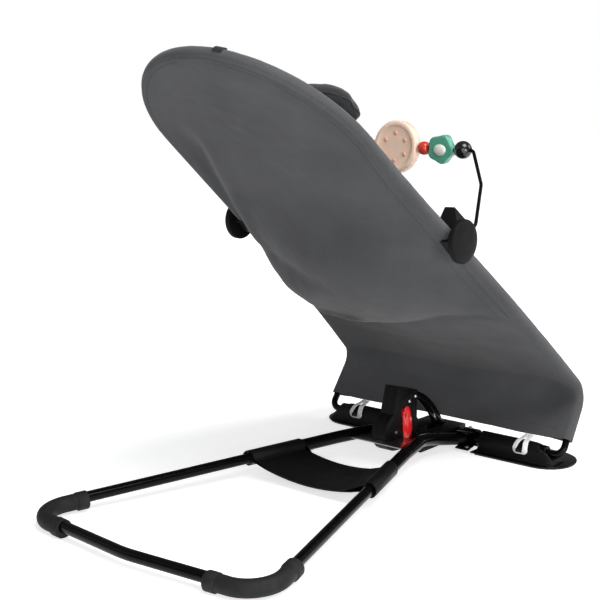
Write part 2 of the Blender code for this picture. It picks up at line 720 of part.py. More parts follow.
def build_housing():
    """Centre housing: a hollow saddle over the middle of the foot tube with a slot that holds the hub."""
    front_y = AXLE_Y - 0.0175
    rear_y = 0.0935
    slim = 0.0250
    outline = [(-HOUSING_HALF, front_y), (HOUSING_HALF, front_y), (HOUSING_HALF, 0.0270), (slim, 0.0400),
               (slim, rear_y), (-slim, rear_y), (-slim, 0.0400), (-HOUSING_HALF, 0.0270)]
    housing = slab("axle_housing", outline, HOUSING_LOW, HOUSING_TOP, "XY")
    joined(housing, block("housing_hollow", (-slim + 3.0 * MM, AXLE_Y + 0.0155, -0.01),
                          (slim - 3.0 * MM, rear_y - 3.0 * MM, HOUSING_TOP - 3.0 * MM)))
    joined(housing, turned("housing_bore", [(0, -0.1), (FOOT_TUBE_RADIUS + GAP, -0.1),
                                            (FOOT_TUBE_RADIUS + GAP, 0.1), (0, 0.1)],
                           (0, AXLE_Y, AXLE_Z), (1, 0, 0), 24))
    joined(housing, block("housing_crank_slot", (-CRANK_SLOT_HALF, AXLE_Y - 0.0045, AXLE_Z - 0.0035),
                          (CRANK_SLOT_HALF, 0.0805, 0.05)))
    joined(housing, block("housing_hub_slot", (-HUB_HALF - GAP, 0.0800, -0.01),
                          (HUB_HALF + GAP, rear_y + 0.01, 0.05)))
    for side in (1, -1):
        joined(housing, bar(f"housing_leg_space_{side}", mirrored(front_tube_path()[2:], side),
                            circle(FRONT_TUBE_RADIUS + 0.5 * MM, 16)))
    dark_plastic(housing)


# Hub, release lever

def hub_outline():
    points = [(0.0830, 0.0300), (0.0816, 0.0875), (0.1230, 0.0993), (0.1310, 0.0750), (0.1330, 0.0640)]
    for i in range(9):
        angle = radians(62 - 152 * i / 8)
        points.append((LEVER_PIVOT_Y + LOBE_RADIUS * cos(angle), LEVER_PIVOT_Z + LOBE_RADIUS * sin(angle)))
    points.append((0.0960, 0.0140))
    points.append((0.0860, 0.0200))
    return points


def build_hub_shell(side, name):
    """One cheek with its share of the rim; the front edge stays open for the crank."""
    shell = slab("hub_shell_" + name, hub_outline(), side * (0.5 * GAP), side * HUB_HALF, "YZ")
    inside = [(0.0700, 0.0330), (0.0700, 0.0863), (0.0820, 0.0863), (0.1212, 0.0970), (0.1284, 0.0745),
              (0.1308, 0.0615)]
    for i in range(9):
        angle = radians(56 - 146 * i / 8)
        inside.append((LEVER_PIVOT_Y + (LOBE_RADIUS - 2.4 * MM) * cos(angle),
                       LEVER_PIVOT_Z + (LOBE_RADIUS - 2.4 * MM) * sin(angle)))
    inside += [(0.0972, 0.0164), (0.0880, 0.0215), (0.0700, 0.0215)]
    low, high = sorted((-side * 2 * MM, side * (HUB_HALF - HUB_CHEEK)))
    joined(shell, slab("hub_hollow_" + name, inside, low, high, "YZ"))
    joined(shell, turned("hub_pin_hole_" + name, [(0, -0.02), (LEVER_PIN_RADIUS + GAP, -0.02),
                                                  (LEVER_PIN_RADIUS + GAP, 0.02), (0, 0.02)],
                         (0, LEVER_PIVOT_Y, LEVER_PIVOT_Z), (1, 0, 0), 14))
    if side < 0:
        joined(shell, block("lever_window", (-0.02, 0.1074, 0.0548), (-0.006, 0.1168, 0.0695)))
        for index, (y, z) in enumerate(((0.0862, 0.0797), (0.0994, 0.0756))):
            joined(shell, turned(f"screw_hole_{index}", [(0, -0.004), (1.8 * MM, -0.004), (1.8 * MM, 0.004),
                                                         (0, 0.004)], (-HUB_HALF, y, z), (1, 0, 0), 12))
            screw = turned("hub_screw_" + ("front", "rear")[index],
                           [(0, -2.2 * MM), (1.45 * MM, -2.2 * MM), (1.45 * MM, GAP), (2.9 * MM, GAP),
                            (2.6 * MM, 1.2 * MM), (1.5 * MM, 1.8 * MM), (0, 2.0 * MM)],
                           (-HUB_HALF, y, z), (-1, 0, 0), 14)
            bright_steel(screw)
    dark_plastic(shell)


def build_lever():
    """The red pad outside the shell and the toothed pawl inside it, bridged through the window."""
    pivot = np.array([LEVER_PIVOT_Y, LEVER_PIVOT_Z])
    axle = np.array([AXLE_Y, AXLE_Z])

    def at(radius, angle):
        return tuple(axle + radius * np.array([cos(angle), sin(angle)]))

    # The pin sweeps past every notch, so the teeth end just outside its path.
    tip = PIN_REACH + PIN_RADIUS + PAWL_CLEARANCE
    floor = tip + NOTCH_DEPTH
    back = PIN_REACH + PIN_RADIUS + PAWL_BACK
    top = PIN_ANGLE - radians(2.0)
    inner = []
    for notch in range(3):
        angle = PIN_ANGLE - notch * NOTCH_STEP
        inner.append(at(floor, angle + radians(-0.4 if notch == 0 else 1.8)))
        inner.append(at(floor, angle - radians(1.75)))
        inner.append(at(tip, angle - radians(1.75)))
        inner.append(at(tip, angle - radians(2.75)))
    inner.append(at(floor, PIN_ANGLE - 2 * NOTCH_STEP - radians(5.5)))
    hub = [tuple(pivot + 7.0 * MM * np.array([cos(a), sin(a)]))
           for a in [radians(190 + 200 * i / 8) for i in range(9)]]
    outer = [tuple(pivot + np.array([-0.002, 0.0195])), at(back + 2.5 * MM, radians(33)), at(back, top)]
    outline = inner + hub + outer
    lever = slab("release_lever", outline, -PAWL_HALF, PAWL_HALF, "YZ", (0, *pivot))
    fit = LEVER_PIN_RADIUS + GAP
    profile = [(0, -0.02), (fit, -0.02), (fit, 0.02), (0, 0.02)]
    bore = turned("lever_bore", profile, (0, *pivot), (1, 0, 0), 14)
    joined(lever, bore)
    bridge = block("lever_bridge", (-0.0135, 0.1086, 0.0566), (-PAWL_HALF + 1.0 * MM, 0.1126, 0.0652))
    joined(lever, bridge, "UNION")
    rows = []
    for z, y0, y1, bulge in ((0.0245, 0.1010, 0.1090, 0.2), (0.0300, 0.0968, 0.1128, 0.8),
                             (0.0400, 0.0945, 0.1148, 1.0), (0.0520, 0.0960, 0.1150, 1.0),
                             (0.0620, 0.0985, 0.1140, 0.9), (0.0680, 0.1010, 0.1120, 0.6),
                             (0.0705, 0.1040, 0.1090, 0.2)):
        mid = (y0 + y1) / 2
        half = (y1 - y0) / 2
        root = -HUB_HALF - 0.7 * MM
        section = [(root, mid + half, z), (root - 1.6 * MM * bulge, mid + half * 0.9, z),
                   (root - 3.8 * MM * bulge, mid + half * 0.55, z), (root - 4.8 * MM * bulge, mid, z),
                   (root - 3.8 * MM * bulge, mid - half * 0.55, z),
                   (root - 1.6 * MM * bulge, mid - half * 0.9, z), (root, mid - half, z)]
        rows.append(section)
    verts = [p for row in rows for p in row]
    faces = ring_faces(0, len(rows), 7) + [tuple(range(7)), tuple(range(len(verts) - 7, len(verts)))]
    joined(lever, solid("lever_pad", verts, faces), "UNION")
    paint(lever, "lever_red", (0.55, 0.015, 0.02), 0.3)


def build_lever_pin_and_spring():
    half = HUB_HALF + 0.8 * MM
    place = (0, LEVER_PIVOT_Y, LEVER_PIVOT_Z)
    pin = turned("lever_pin",
                 [(0, -half), (LEVER_PIN_RADIUS - GAP, -half), (LEVER_PIN_RADIUS, -half + GAP),
                  (LEVER_PIN_RADIUS, HUB_HALF + GAP), (3.2 * MM, HUB_HALF + GAP),
                  (3.2 * MM, HUB_HALF + 1.2 * MM), (0, HUB_HALF + 1.4 * MM)],
                 place, (1, 0, 0), 14)
    bright_steel(pin)
    curls = 4
    radius = 4.0 * MM
    points = [np.array([6.0 * MM, LEVER_PIVOT_Y + 0.013, LEVER_PIVOT_Z - 0.0093])]
    for i in range(curls * 10 + 1):
        turn = -pi / 2 + 2 * pi * i / 10
        x = 6.9 * MM - 2.9 * MM * i / (curls * 10)
        points.append(np.array([x, LEVER_PIVOT_Y + radius * cos(turn), LEVER_PIVOT_Z + radius * sin(turn)]))
    points[0] = np.array([6.9 * MM, LEVER_PIVOT_Y - 0.010, LEVER_PIVOT_Z - radius])
    points.append(np.array([4.0 * MM, LEVER_PIVOT_Y + 0.008, LEVER_PIVOT_Z - radius]))
    bright_steel(bar("lever_spring", points, circle(0.28 * MM, 5), (1, 0, 0), place))


# Seat rod and crank

def half_width(s):
    split = WIDTH_SPLIT * SEAT_LENGTH
    s = min(max(s, 0.0), SEAT_LENGTH)
    if s < split:
        width = KNEE_HALF_WIDTH + (BOW_HALF_WIDTH - KNEE_HALF_WIDTH) * sin(pi / 2 * s / split)
    else:
        share = (s - split) / (SEAT_LENGTH - split)
        width = BOW_HALF_WIDTH * sqrt(max(1 - share ** BOW_POWER, 0.0))
    return width + BULGE * sin(pi * s / SEAT_LENGTH) * min(width / 0.1, 1.0)


def seat_point(x, s, offset=0.0):
    """A point of the seat: x across, s up the incline from the knee, offset to the lying side."""
    share = s / SEAT_LENGTH
    rise = offset + 0.0026 * sin(pi * share) + 0.0025 * sin(2 * pi * share)
    return np.array([x, KNEE_Y + s * cos(INCLINE) - rise * sin(INCLINE),
                     KNEE_Z + s * sin(INCLINE) + rise * cos(INCLINE)])


def rail_stations():
    split = WIDTH_SPLIT * SEAT_LENGTH
    low = [split * i / 9 for i in range(1, 10)]
    bow = []
    for i in range(1, 9):
        share = sin(pi / 2 * i / 8)
        bow.append(split + (SEAT_LENGTH - split) * share)
    return low + bow


def knee_points(steps=5):
    """The rod's bent corner at the knee, from the leg to the rail, on the left side."""
    leg_low = np.array([FOOT_HALF_WIDTH, AXLE_Y - 0.0026, AXLE_Z + 0.0035])
    corner = np.array([KNEE_HALF_WIDTH, KNEE_Y, KNEE_Z])
    onward = seat_point(half_width(0.05), 0.05)
    return rounded_path([leg_low, corner, onward], [KNEE_BEND], steps)[1:-1]


def rod_half_path(knee_steps=5):
    foot_corner = np.array([FOOT_HALF_WIDTH, AXLE_Y, AXLE_Z])
    knee = knee_points(knee_steps)
    foot = rounded_path([np.array([0.6 * MM, AXLE_Y, AXLE_Z]), foot_corner, knee[0]], [FOOT_BEND], 5)
    rails = [seat_point(half_width(s), s) for s in rail_stations()[1:]]
    return foot[:-1] + knee + rails


def build_rod():
    half = rod_half_path()
    path = half + mirrored(half[:-1][::-1], -1)
    black_steel(bar("seat_frame_rod", path, circle(ROD_RADIUS, 12), (0, -1, 0), AXLE))


def crank_curve():
    return [np.array(p) for p in smooth_path([(AXLE_Y + 0.0006, AXLE_Z + 0.0046, 0), (0.0205, 0.0295, 0),
                                             (0.0367, 0.0517, 0), (0.0560, 0.0690, 0), (0.0736, 0.0786, 0),
                                             (AXLE_Y + PIN_REACH * cos(PIN_ANGLE),
                                              AXLE_Z + PIN_REACH * sin(PIN_ANGLE), 0)], 3)]


def build_crank():
    sleeve = turned("crank_arm", [(ROD_RADIUS + GAP, -0.0085), (7.3 * MM, -0.0085), (7.3 * MM, 0.0085),
                                  (ROD_RADIUS + GAP, 0.0085)], AXLE, (1, 0, 0), 20, True)
    curve = [(p[0], p[1]) for p in crank_curve()]
    outline = offset_outline(curve, 3.6 * MM)
    pin_y = AXLE_Y + PIN_REACH * cos(PIN_ANGLE)
    pin_z = AXLE_Z + PIN_REACH * sin(PIN_ANGLE)
    for side in (1, -1):
        low, high = sorted((side * ARM_INNER, side * (ARM_INNER + ARM_THICKNESS)))
        arm = slab(f"arm_plate_{side}", outline, low, high, "YZ")
        joined(arm, turned(f"arm_rod_space_{side}", [(0, -0.02), (ROD_RADIUS + GAP + 0.02 * MM, -0.02),
                                                     (ROD_RADIUS + GAP + 0.02 * MM, 0.02), (0, 0.02)],
                           AXLE, (1, 0, 0), 20))
        joined(arm, turned(f"arm_pin_space_{side}", [(0, -0.02), (PIN_RADIUS + GAP, -0.02),
                                                     (PIN_RADIUS + GAP, 0.02), (0, 0.02)],
                           (0, pin_y, pin_z), (1, 0, 0), 12))
        joined(sleeve, arm, "UNION")
    black_steel(sleeve)
    half = ARM_INNER + ARM_THICKNESS
    pin = turned("crank_pin", [(0, -half), (PIN_RADIUS, -half), (PIN_RADIUS, half), (0, half)],
                 (0, pin_y, pin_z), (1, 0, 0), 14, origin=AXLE)
    bright_steel(pin)


# Cloth pieces

def loop_stations():
    """Rows of the cloth round the left half of the rod: rod point, lying-side normal and middle point."""
    rows = []
    leg_up = unit(np.array([0, KNEE_Y - AXLE_Y, KNEE_Z - AXLE_Z]))
    leg_normal = np.array([0, -leg_up[2], leg_up[1]])
    knee = knee_points(6)
    start_share = (LOWER_HEM_Z - AXLE_Z) / (knee[0][2] - AXLE_Z)
    foot = np.array([FOOT_HALF_WIDTH, AXLE_Y, AXLE_Z])
    low = foot + (knee[0] - foot) * start_share
    for i in range(3):
        point = low + (knee[0] - low) * i / 3
        rows.append((point, leg_normal, 4 * MM))
    seat_normal = np.array([0, -sin(INCLINE), cos(INCLINE)])
    for i, point in enumerate(knee):
        mix = i / (len(knee) - 1)
        normal = unit((1 - mix) * leg_normal + mix * seat_normal)
        rows.append((point, normal, 4 * MM))
    return rows, seat_normal


def seat_sag(s):
    """How far the middle of the seat cloth hangs behind the rod plane."""
    share = s / SEAT_LENGTH
    return 0.003 + 0.029 * sin(pi * min(share / 0.86, 1.0)) ** 2


def sheet_solid(name, strips, thickness, origin=(0, 0, 0)):
    """Closes a grid of strips, each from the left edge across to the right edge, to a solid sheet."""
    columns = len(strips[0])
    grid = np.array(strips)
    du = np.zeros_like(grid)
    dv = np.zeros_like(grid)
    du[:, 1:-1] = grid[:, 2:] - grid[:, :-2]
    du[:, 0] = grid[:, 1] - grid[:, 0]
    du[:, -1] = grid[:, -1] - grid[:, -2]
    dv[1:-1] = grid[2:] - grid[:-2]
    dv[0] = grid[1] - grid[0]
    dv[-1] = grid[-1] - grid[-2]
    normal = np.cross(du, dv)
    length = np.linalg.norm(normal, axis=2, keepdims=True)
    normal = normal / np.maximum(length, 1e-12)
    top = grid + normal * thickness / 2
    low = grid - normal * thickness / 2
    rows = len(strips)
    verts = list(top.reshape(-1, 3)) + list(low.reshape(-1, 3))
    shift = rows * columns
    faces = []
    for i in range(rows - 1):
        for j in range(columns - 1):
            a = i * columns + j
            faces.append((a, a + 1, a + columns + 1, a + columns))
            faces.append((shift + a, shift + a + columns, shift + a + columns + 1, shift + a + 1))
    edge = ([j for j in range(columns)] + [i * columns + columns - 1 for i in range(1, rows)]
            + [(rows - 1) * columns + j for j in range(columns - 2, -1, -1)]
            + [i * columns for i in range(rows - 2, 0, -1)])
    for a, b in zip(edge, edge[1:] + edge[:1]):
        faces.append((a, b, shift + b, shift + a))
    return solid(name, verts, faces, origin)


def roll_strip(point, outward, normal, middle, across, hem_band=HEM_BAND):
    """One strip: hem behind the rod, round its outside, then over the lying side to the middle."""
    strip = [point - outward * hem_band - normal * (ROLL_RADIUS - 0.8 * MM)]
    for i in range(5):
        angle = -pi / 2 + pi * i / 4
        strip.append(point + ROLL_RADIUS * (cos(angle) * outward + sin(angle) * normal))
    start = point + ROLL_RADIUS * normal
    for i in range(1, across + 1):
        share = i / across
        ease = 1 - (1 - share) ** 1.7
        flat = start + (middle - start) * share
        drop = (middle - start) @ normal
        strip.append(flat + normal * drop * (ease - share))
    return strip


def build_sling():
    rows, seat_normal = loop_stations()
    across = SLING_ACROSS
    split = WIDTH_SPLIT * SEAT_LENGTH
    strips = []
    for point, normal, sag in rows:
        middle = np.array([0, point[1], point[2]]) - normal * sag
        outward = np.array([1.0, 0, 0])
        strips.append(roll_strip(point, outward, normal, middle, across))
    stations = rail_stations()[1:]
    pivot_s = split + 0.30 * (SEAT_LENGTH - split)
    previous = rows[-1][0]
    points = [seat_point(half_width(s), s) for s in stations]
    for i, (s, point) in enumerate(zip(stations, points)):
        at_head = i + 1 == len(points)
        tangent = np.array([-1.0, 0, 0]) if at_head else unit(points[i + 1] - previous)
        outward = unit(np.cross(tangent, seat_normal))
        mid_s = s if s < split else split + (pivot_s - split) * (s - split) / (SEAT_LENGTH - split)
        middle = seat_point(0.0, mid_s, -seat_sag(mid_s))
        strips.append(roll_strip(point, outward, seat_normal, middle, across))
        previous = point
    grid = []
    for strip in strips:
        right = [p * np.array([-1, 1, 1]) for p in strip[:-1]]
        grid.append(strip + right[::-1])
    # The topmost strip lies in the middle plane, so both halves share it.
    cloth(head_closed_sheet("seat_sling", grid, len(strips[0]), CLOTH_THICKNESS), (0.083, 0.086, 0.092))


def head_closed_sheet(name, grid, half_count, thickness):
    """A sheet whose last row folds onto itself at the middle plane, where its two halves meet."""
    grid = np.array(grid)
    rows, columns, _ = grid.shape
    mirror = np.array([-1.0, 1, 1])
    ghost = grid[-2][::-1]
    du = np.zeros_like(grid)
    dv = np.zeros_like(grid)
    du[:, 1:-1] = grid[:, 2:] - grid[:, :-2]
    du[:, 0] = grid[:, 1] - grid[:, 0]
    du[:, -1] = grid[:, -1] - grid[:, -2]
    dv[1:-1] = grid[2:] - grid[:-2]
    dv[0] = grid[1] - grid[0]
    dv[-1] = ghost - grid[-2]
    mid = half_count - 1
    du[:, mid] = grid[:, mid + 1] - grid[:, mid - 1]
    normal = np.cross(du, dv)
    normal = normal / np.maximum(np.linalg.norm(normal, axis=2, keepdims=True), 1e-12)
    normal[-1, mid] = normal[-2, mid]
    last = normal[-1].copy()
    for j in range(half_count):
        both = last[j] + last[columns - 1 - j]
        both[0] = 0.0
        both = unit(both)
        normal[-1, j] = both
        normal[-1, columns - 1 - j] = both
    top = (grid + normal * thickness / 2).reshape(-1, 3)
    low = (grid - normal * thickness / 2).reshape(-1, 3)
    shift = rows * columns

    def index(i, j):
        if i == rows - 1 and j > mid:
            j = columns - 1 - j
        return i * columns + j

    faces = []
    for i in range(rows - 1):
        for j in range(columns - 1):
            corners = (index(i, j), index(i, j + 1), index(i + 1, j + 1), index(i + 1, j))
            faces.append(corners)
            faces.append(tuple(shift + c for c in corners[::-1]))
    edge = [(0, j) for j in range(columns)]
    edge += [(i, columns - 1) for i in range(1, rows)]
    edge += [(i, 0) for i in range(rows - 2, 0, -1)]
    ids = [index(*e) for e in edge]
    for a, b in zip(ids, ids[1:] + ids[:1]):
        faces.append((a, b, shift + b, shift + a))
    return solid(name, list(top) + list(low), faces, AXLE)


def cover_depth(s):
    """How far the middle of the rear cloth hangs behind the rod plane."""
    swell = sin(pi * min(max((s - COVER_HEM_S) / COVER_SWELL_LENGTH, 0.0), 1.0)) ** 0.75
    return seat_sag(s) + COVER_SLACK + COVER_SWELL * swell


def build_rear_cover():
    """The loose rear cloth: sewn to the rolled edges, hanging behind them in a shallow belly."""
    split = WIDTH_SPLIT * SEAT_LENGTH
    seam = HEM_BAND + COVER_SEAM
    behind = ROLL_RADIUS - 0.8 * MM
    across = 6
    stations = [COVER_HEM_S + (split - COVER_HEM_S) * i / 8 for i in range(9)]
    stations += [s for s in rail_stations() if s > split + 1e-6]
    seat_normal = np.array([0, -sin(INCLINE), cos(INCLINE)])
    pivot_s = split + 0.30 * (SEAT_LENGTH - split)
    grid = []
    for i, s in enumerate(stations):
        point = seat_point(half_width(s), s)
        ahead = seat_point(half_width(min(s + 0.004, SEAT_LENGTH)), min(s + 0.004, SEAT_LENGTH))
        back = seat_point(half_width(s - 0.004), s - 0.004)
        tangent = unit(ahead - back) if i + 1 < len(stations) else np.array([-1.0, 0, 0])
        outward = unit(np.cross(tangent, seat_normal))
        start = point - outward * seam - seat_normal * behind
        mid_s = s if s < split else split + (pivot_s - split) * (s - split) / (SEAT_LENGTH - split)
        mid_s += COVER_HEM_RISE * max(0.0, 1 - (s - COVER_HEM_S) / 0.16)
        middle = seat_point(0.0, mid_s, -cover_depth(mid_s))
        strip = [start]
        for j in range(1, across + 1):
            share = j / across
            ease = 1 - (1 - share) ** COVER_FULLNESS
            flat = start + (middle - start) * share
            drop = (middle - start) @ seat_normal
            strip.append(flat + seat_normal * drop * (ease - share))
        right = [p * np.array([-1, 1, 1]) for p in strip[:-1]]
        grid.append(strip + right[::-1])
    cloth(head_closed_sheet("rear_cover", grid, across + 1, CLOTH_THICKNESS), (0.075, 0.078, 0.083))


def sling_lift(x, s):
    """Offset of the seat cloth's middle surface, along its straight facets across the seat."""
    place = (1 - abs(x) / half_width(s)) * SLING_ACROSS
    low = int(min(max(place, 0), SLING_ACROSS - 1))
    shares = [1 - (1 - i / SLING_ACROSS) ** 1.7 for i in (low, low + 1)]
    ease = shares[0] + (shares[1] - shares[0]) * (place - low)
    return ROLL_RADIUS - (ROLL_RADIUS + seat_sag(s)) * ease


def pillow_solid(name, size, power=3.0, steps=8, rings=4):
    """A cushion with a crown and drawn-in sides that lies in the dish of the seat cloth."""
    length, width, height = size
    verts = []
    rows = 2 * rings
    count = 4 * steps
    clear = CLOTH_THICKNESS / 2 + 0.35 * MM + height / 2

    def lying(x, up, level):
        bed = sling_lift(min(abs(x), half_width(PILLOW_S)), PILLOW_S)
        return seat_point(x, PILLOW_S + up, bed + clear + height / 2 * level)

    for k in range(rows + 1):
        level = -1 + 2 * k / rows
        if abs(level) == 1:
            verts.append(lying(0.0, 0.0, level))
            continue
        tilt = level * pi / 2
        shrink = cos(tilt) ** 0.55
        for j in range(count):
            angle = 2 * pi * j / count
            c = cos(angle)
            s = sin(angle)
            radius = (abs(c) ** power + abs(s) ** power) ** (-1 / power)
            waist = 1 - 0.045 * (1 - abs(sin(2 * angle)))
            reach = radius * shrink * waist / 2
            verts.append(lying(length * reach * c, width * reach * s, sin(tilt)))
    faces = []
    for j in range(count):
        k = (j + 1) % count
        faces.append((0, 1 + k, 1 + j))
        last = 1 + (rows - 2) * count
        faces.append((len(verts) - 1, last + j, last + k))
    faces += ring_faces(1, rows - 1, count)
    return solid(name, verts, faces, AXLE)


def build_pillow():
    cloth(pillow_solid("head_pillow", (PILLOW_LENGTH, PILLOW_WIDTH, PILLOW_HEIGHT)), (0.030, 0.031, 0.034))


def build_tab():
    """A short folded tab that hangs from the cloth behind the head bow."""
    seat_normal = np.array([0, -sin(INCLINE), cos(INCLINE)])
    low = WIDTH_SPLIT * SEAT_LENGTH
    high = SEAT_LENGTH
    for _ in range(40):
        s = (low + high) / 2
        low, high = (s, high) if half_width(s) > TAB_X else (low, s)
    step = 0.5 * MM
    along = unit(seat_point(-half_width(s + step), s + step) - seat_point(-half_width(s - step), s - step))
    outward = unit(np.cross(seat_normal, along))
    rise = ROLL_RADIUS + CLOTH_THICKNESS / 2 + GAP + TAB_THICKNESS / 2
    base = seat_point(-half_width(s), s) + outward * rise
    path = [base - seat_normal * 2.0 * MM, base + seat_normal * 3.0 * MM, base + seat_normal * 9.0 * MM]
    band = rounded_box(TAB_WIDTH, TAB_THICKNESS, 0.5 * MM, 1)
    cloth(bar("head_tab", path, band, outward, AXLE), (0.02, 0.02, 0.02))


def build_elastic(side, name):
    """A flat elastic loop: down from the lower hem behind the cover, under the tongue and up again."""
    leg_up = unit(np.array([0, KNEE_Y - AXLE_Y, KNEE_Z - AXLE_Z]))
    hem = np.array([0, AXLE_Y, AXLE_Z]) + leg_up * (LOWER_HEM_Z - AXLE_Z) / leg_up[2]
    catch_y = AXLE_Y + COVER_RADIUS + 1.95 * MM
    catch_z = HOOK_Z - HOOK_THICKNESS / 2 - GAP - ELASTIC_WIDTH / 2
    drop = [(3.1 * MM, hem[1] + 0.0010, hem[2] - 0.0028)]
    for spread, angle in ((4.2 * MM, 94), (5.4 * MM, 62), (6.6 * MM, 36)):
        drop.append((spread, AXLE_Y + (COVER_RADIUS + 1.6 * MM) * cos(radians(angle)),
                     AXLE_Z + (COVER_RADIUS + 1.6 * MM) * sin(radians(angle))))
    drop = smooth_path(drop + [(7.5 * MM, catch_y, catch_z + 0.005)], 3)
    down = [np.array([side * ELASTIC_X - p[0], p[1], p[2]]) for p in drop]
    up = [np.array([side * ELASTIC_X + p[0], p[1], p[2]]) for p in drop[::-1]]
    turn = [np.array([side * ELASTIC_X - 7.7 * MM, catch_y, catch_z]),
            np.array([side * ELASTIC_X + 7.7 * MM, catch_y, catch_z])]
    radii = [0] * (len(down) - 1) + [2.75 * MM, 2.75 * MM] + [0] * (len(up) - 1)
    path = rounded_path(down + turn + up, radii, 4)
    band = rounded_box(ELASTIC_THICKNESS, ELASTIC_WIDTH, 0.3 * MM, 1)
    cloth(bar("elastic_loop_" + name, path, band, (1.0, 0, 0), AXLE), (0.75, 0.75, 0.74))


def build_restraint():
    """The flap that comes up between the child's legs, lying on the seat cloth."""
    strips = []
    for i in range(12):
        s = FLAP_START_S + FLAP_LENGTH * i / 11
        wide = FLAP_NECK + FLAP_FLARE * (1 / (1 + np.exp(-(s - FLAP_FLARE_S) / (0.1 * FLAP_FLARE_S))))
        strip = []
        for j in range(-4, 5):
            x = wide * j / 4
            lift = sling_lift(x, s) + (CLOTH_THICKNESS + FLAP_THICKNESS) / 2 + 0.8 * MM
            strip.append(seat_point(x, s, lift))
        strips.append(strip[::-1])
    cloth(sheet_solid("restraint_flap", strips, FLAP_THICKNESS, AXLE), (0.083, 0.086, 0.092))


# Toy bar

def clip_centre():
    s = CLIP_SHARE * SEAT_LENGTH
    return seat_point(half_width(s), s)


def build_clip(side, name):
    """A clip that clasps the rolled rail and carries the round cap's pivot."""
    centre = clip_centre()
    place = np.array([side * centre[0], centre[1], centre[2]])
    wrap = ROLL_RADIUS + CLOTH_THICKNESS / 2 + 2 * GAP
    s = CLIP_SHARE * SEAT_LENGTH
    along = unit(seat_point(half_width(s + 0.01), s + 0.01) - seat_point(half_width(s - 0.01), s - 0.01))
    along = along * np.array([side, 1, 1])
    outer = wrap + CLIP_WALL
    outline = [(-wrap - 3.0 * MM, -wrap - 2.2 * MM), (outer, -wrap - 2.2 * MM),
               (outer, 0.010), (wrap, 0.0150), (-0.0050, CLIP_RISE), (-0.0190, CLIP_RISE),
               (-0.0190, 0.0130), (-wrap - 3.0 * MM, 0.0105)]
    normal = np.array([0, -sin(INCLINE), cos(INCLINE)])
    outward = np.cross(along, normal) * side
    length = CLIP_LENGTH
    verts = []
    for level in (-length / 2, length / 2):
        for u, v in outline:
            verts.append(place + along * level + outward * u + normal * v)
    count = len(outline)
    faces = ring_faces(0, 2, count) + [tuple(range(count)), tuple(range(count, 2 * count))]
    clip = solid("toy_clip_" + name, verts, faces, AXLE)
    joined(clip, turned("clip_bore_" + name, [(0, -0.03), (wrap, -0.03), (wrap, 0.03), (0, 0.03)],
                        place, along, 20))
    mouth = []
    for level in (-0.03, 0.03):
        for u, v in ((-0.05, -wrap), (0.0, -wrap), (0.0, wrap), (-0.05, wrap)):
            mouth.append(place + along * level + outward * u + normal * v)
    faces = ring_faces(0, 2, 4) + [(0, 1, 2, 3), (4, 5, 6, 7)]
    joined(clip, solid("clip_mouth_" + name, mouth, faces, place))
    pivot_from = centre[0] + wrap + 0.3 * MM
    stud_end = CAP_BACK - wrap - 0.3 * MM + 0.0055
    stud = turned("clip_stud_" + name, [(0, 0), (STUD_RADIUS, 0), (STUD_RADIUS, stud_end), (0, stud_end)],
                  (side * pivot_from, centre[1], centre[2]), (side, 0, 0), 14)
    joined(clip, stud, "UNION")
    dark_plastic(clip)


def build_cap(side, name):
    centre = clip_centre()
    back = centre[0] + CAP_BACK
    bore = STUD_RADIUS + GAP
    deep = 0.0058
    profile = [(bore, 0), (CAP_RADIUS - 1.5 * MM, 0), (CAP_RADIUS, 1.2 * MM),
               (CAP_RADIUS, CAP_DEPTH - 4.6 * MM), (CAP_RADIUS - 2.0 * MM, CAP_DEPTH - 2.2 * MM),
               (CAP_RADIUS * 0.6, CAP_DEPTH - 0.5 * MM), (0, CAP_DEPTH)]
    bottom = [(0, deep), (bore, deep)]
    place = (side * back, centre[1], centre[2])
    cap = turned("toy_disc_cap_" + name, bottom + profile, place, (side, 0, 0), 28, origin=place)
    # The wire arm's socket, bored in from the edge toward the head of the arm.
    arm = toy_arm_points(side)
    joined(cap, bar("cap_socket_" + name, [arm[0], arm[1] + (arm[1] - arm[0]) * 0.6],
                    circle(WIRE_RADIUS + GAP, 12), (1, 0, 0)))
    dark_plastic(cap)


def toy_arm_points(side):
    centre = clip_centre()
    x = centre[0] + CAP_BACK + 0.0040
    end = np.array(TOY_ARM_BEND)
    start = np.array([x, centre[1], centre[2]])
    heading = unit(np.array([0.0, end[1] - start[1], end[2] - start[2]]))
    inside = start + heading * 0.0125
    rim = start + heading * 0.0300
    points = [inside, rim, end, np.array([WIRE_CORNER_X, TOY_Y, TOY_Z])]
    return mirrored(points, side)


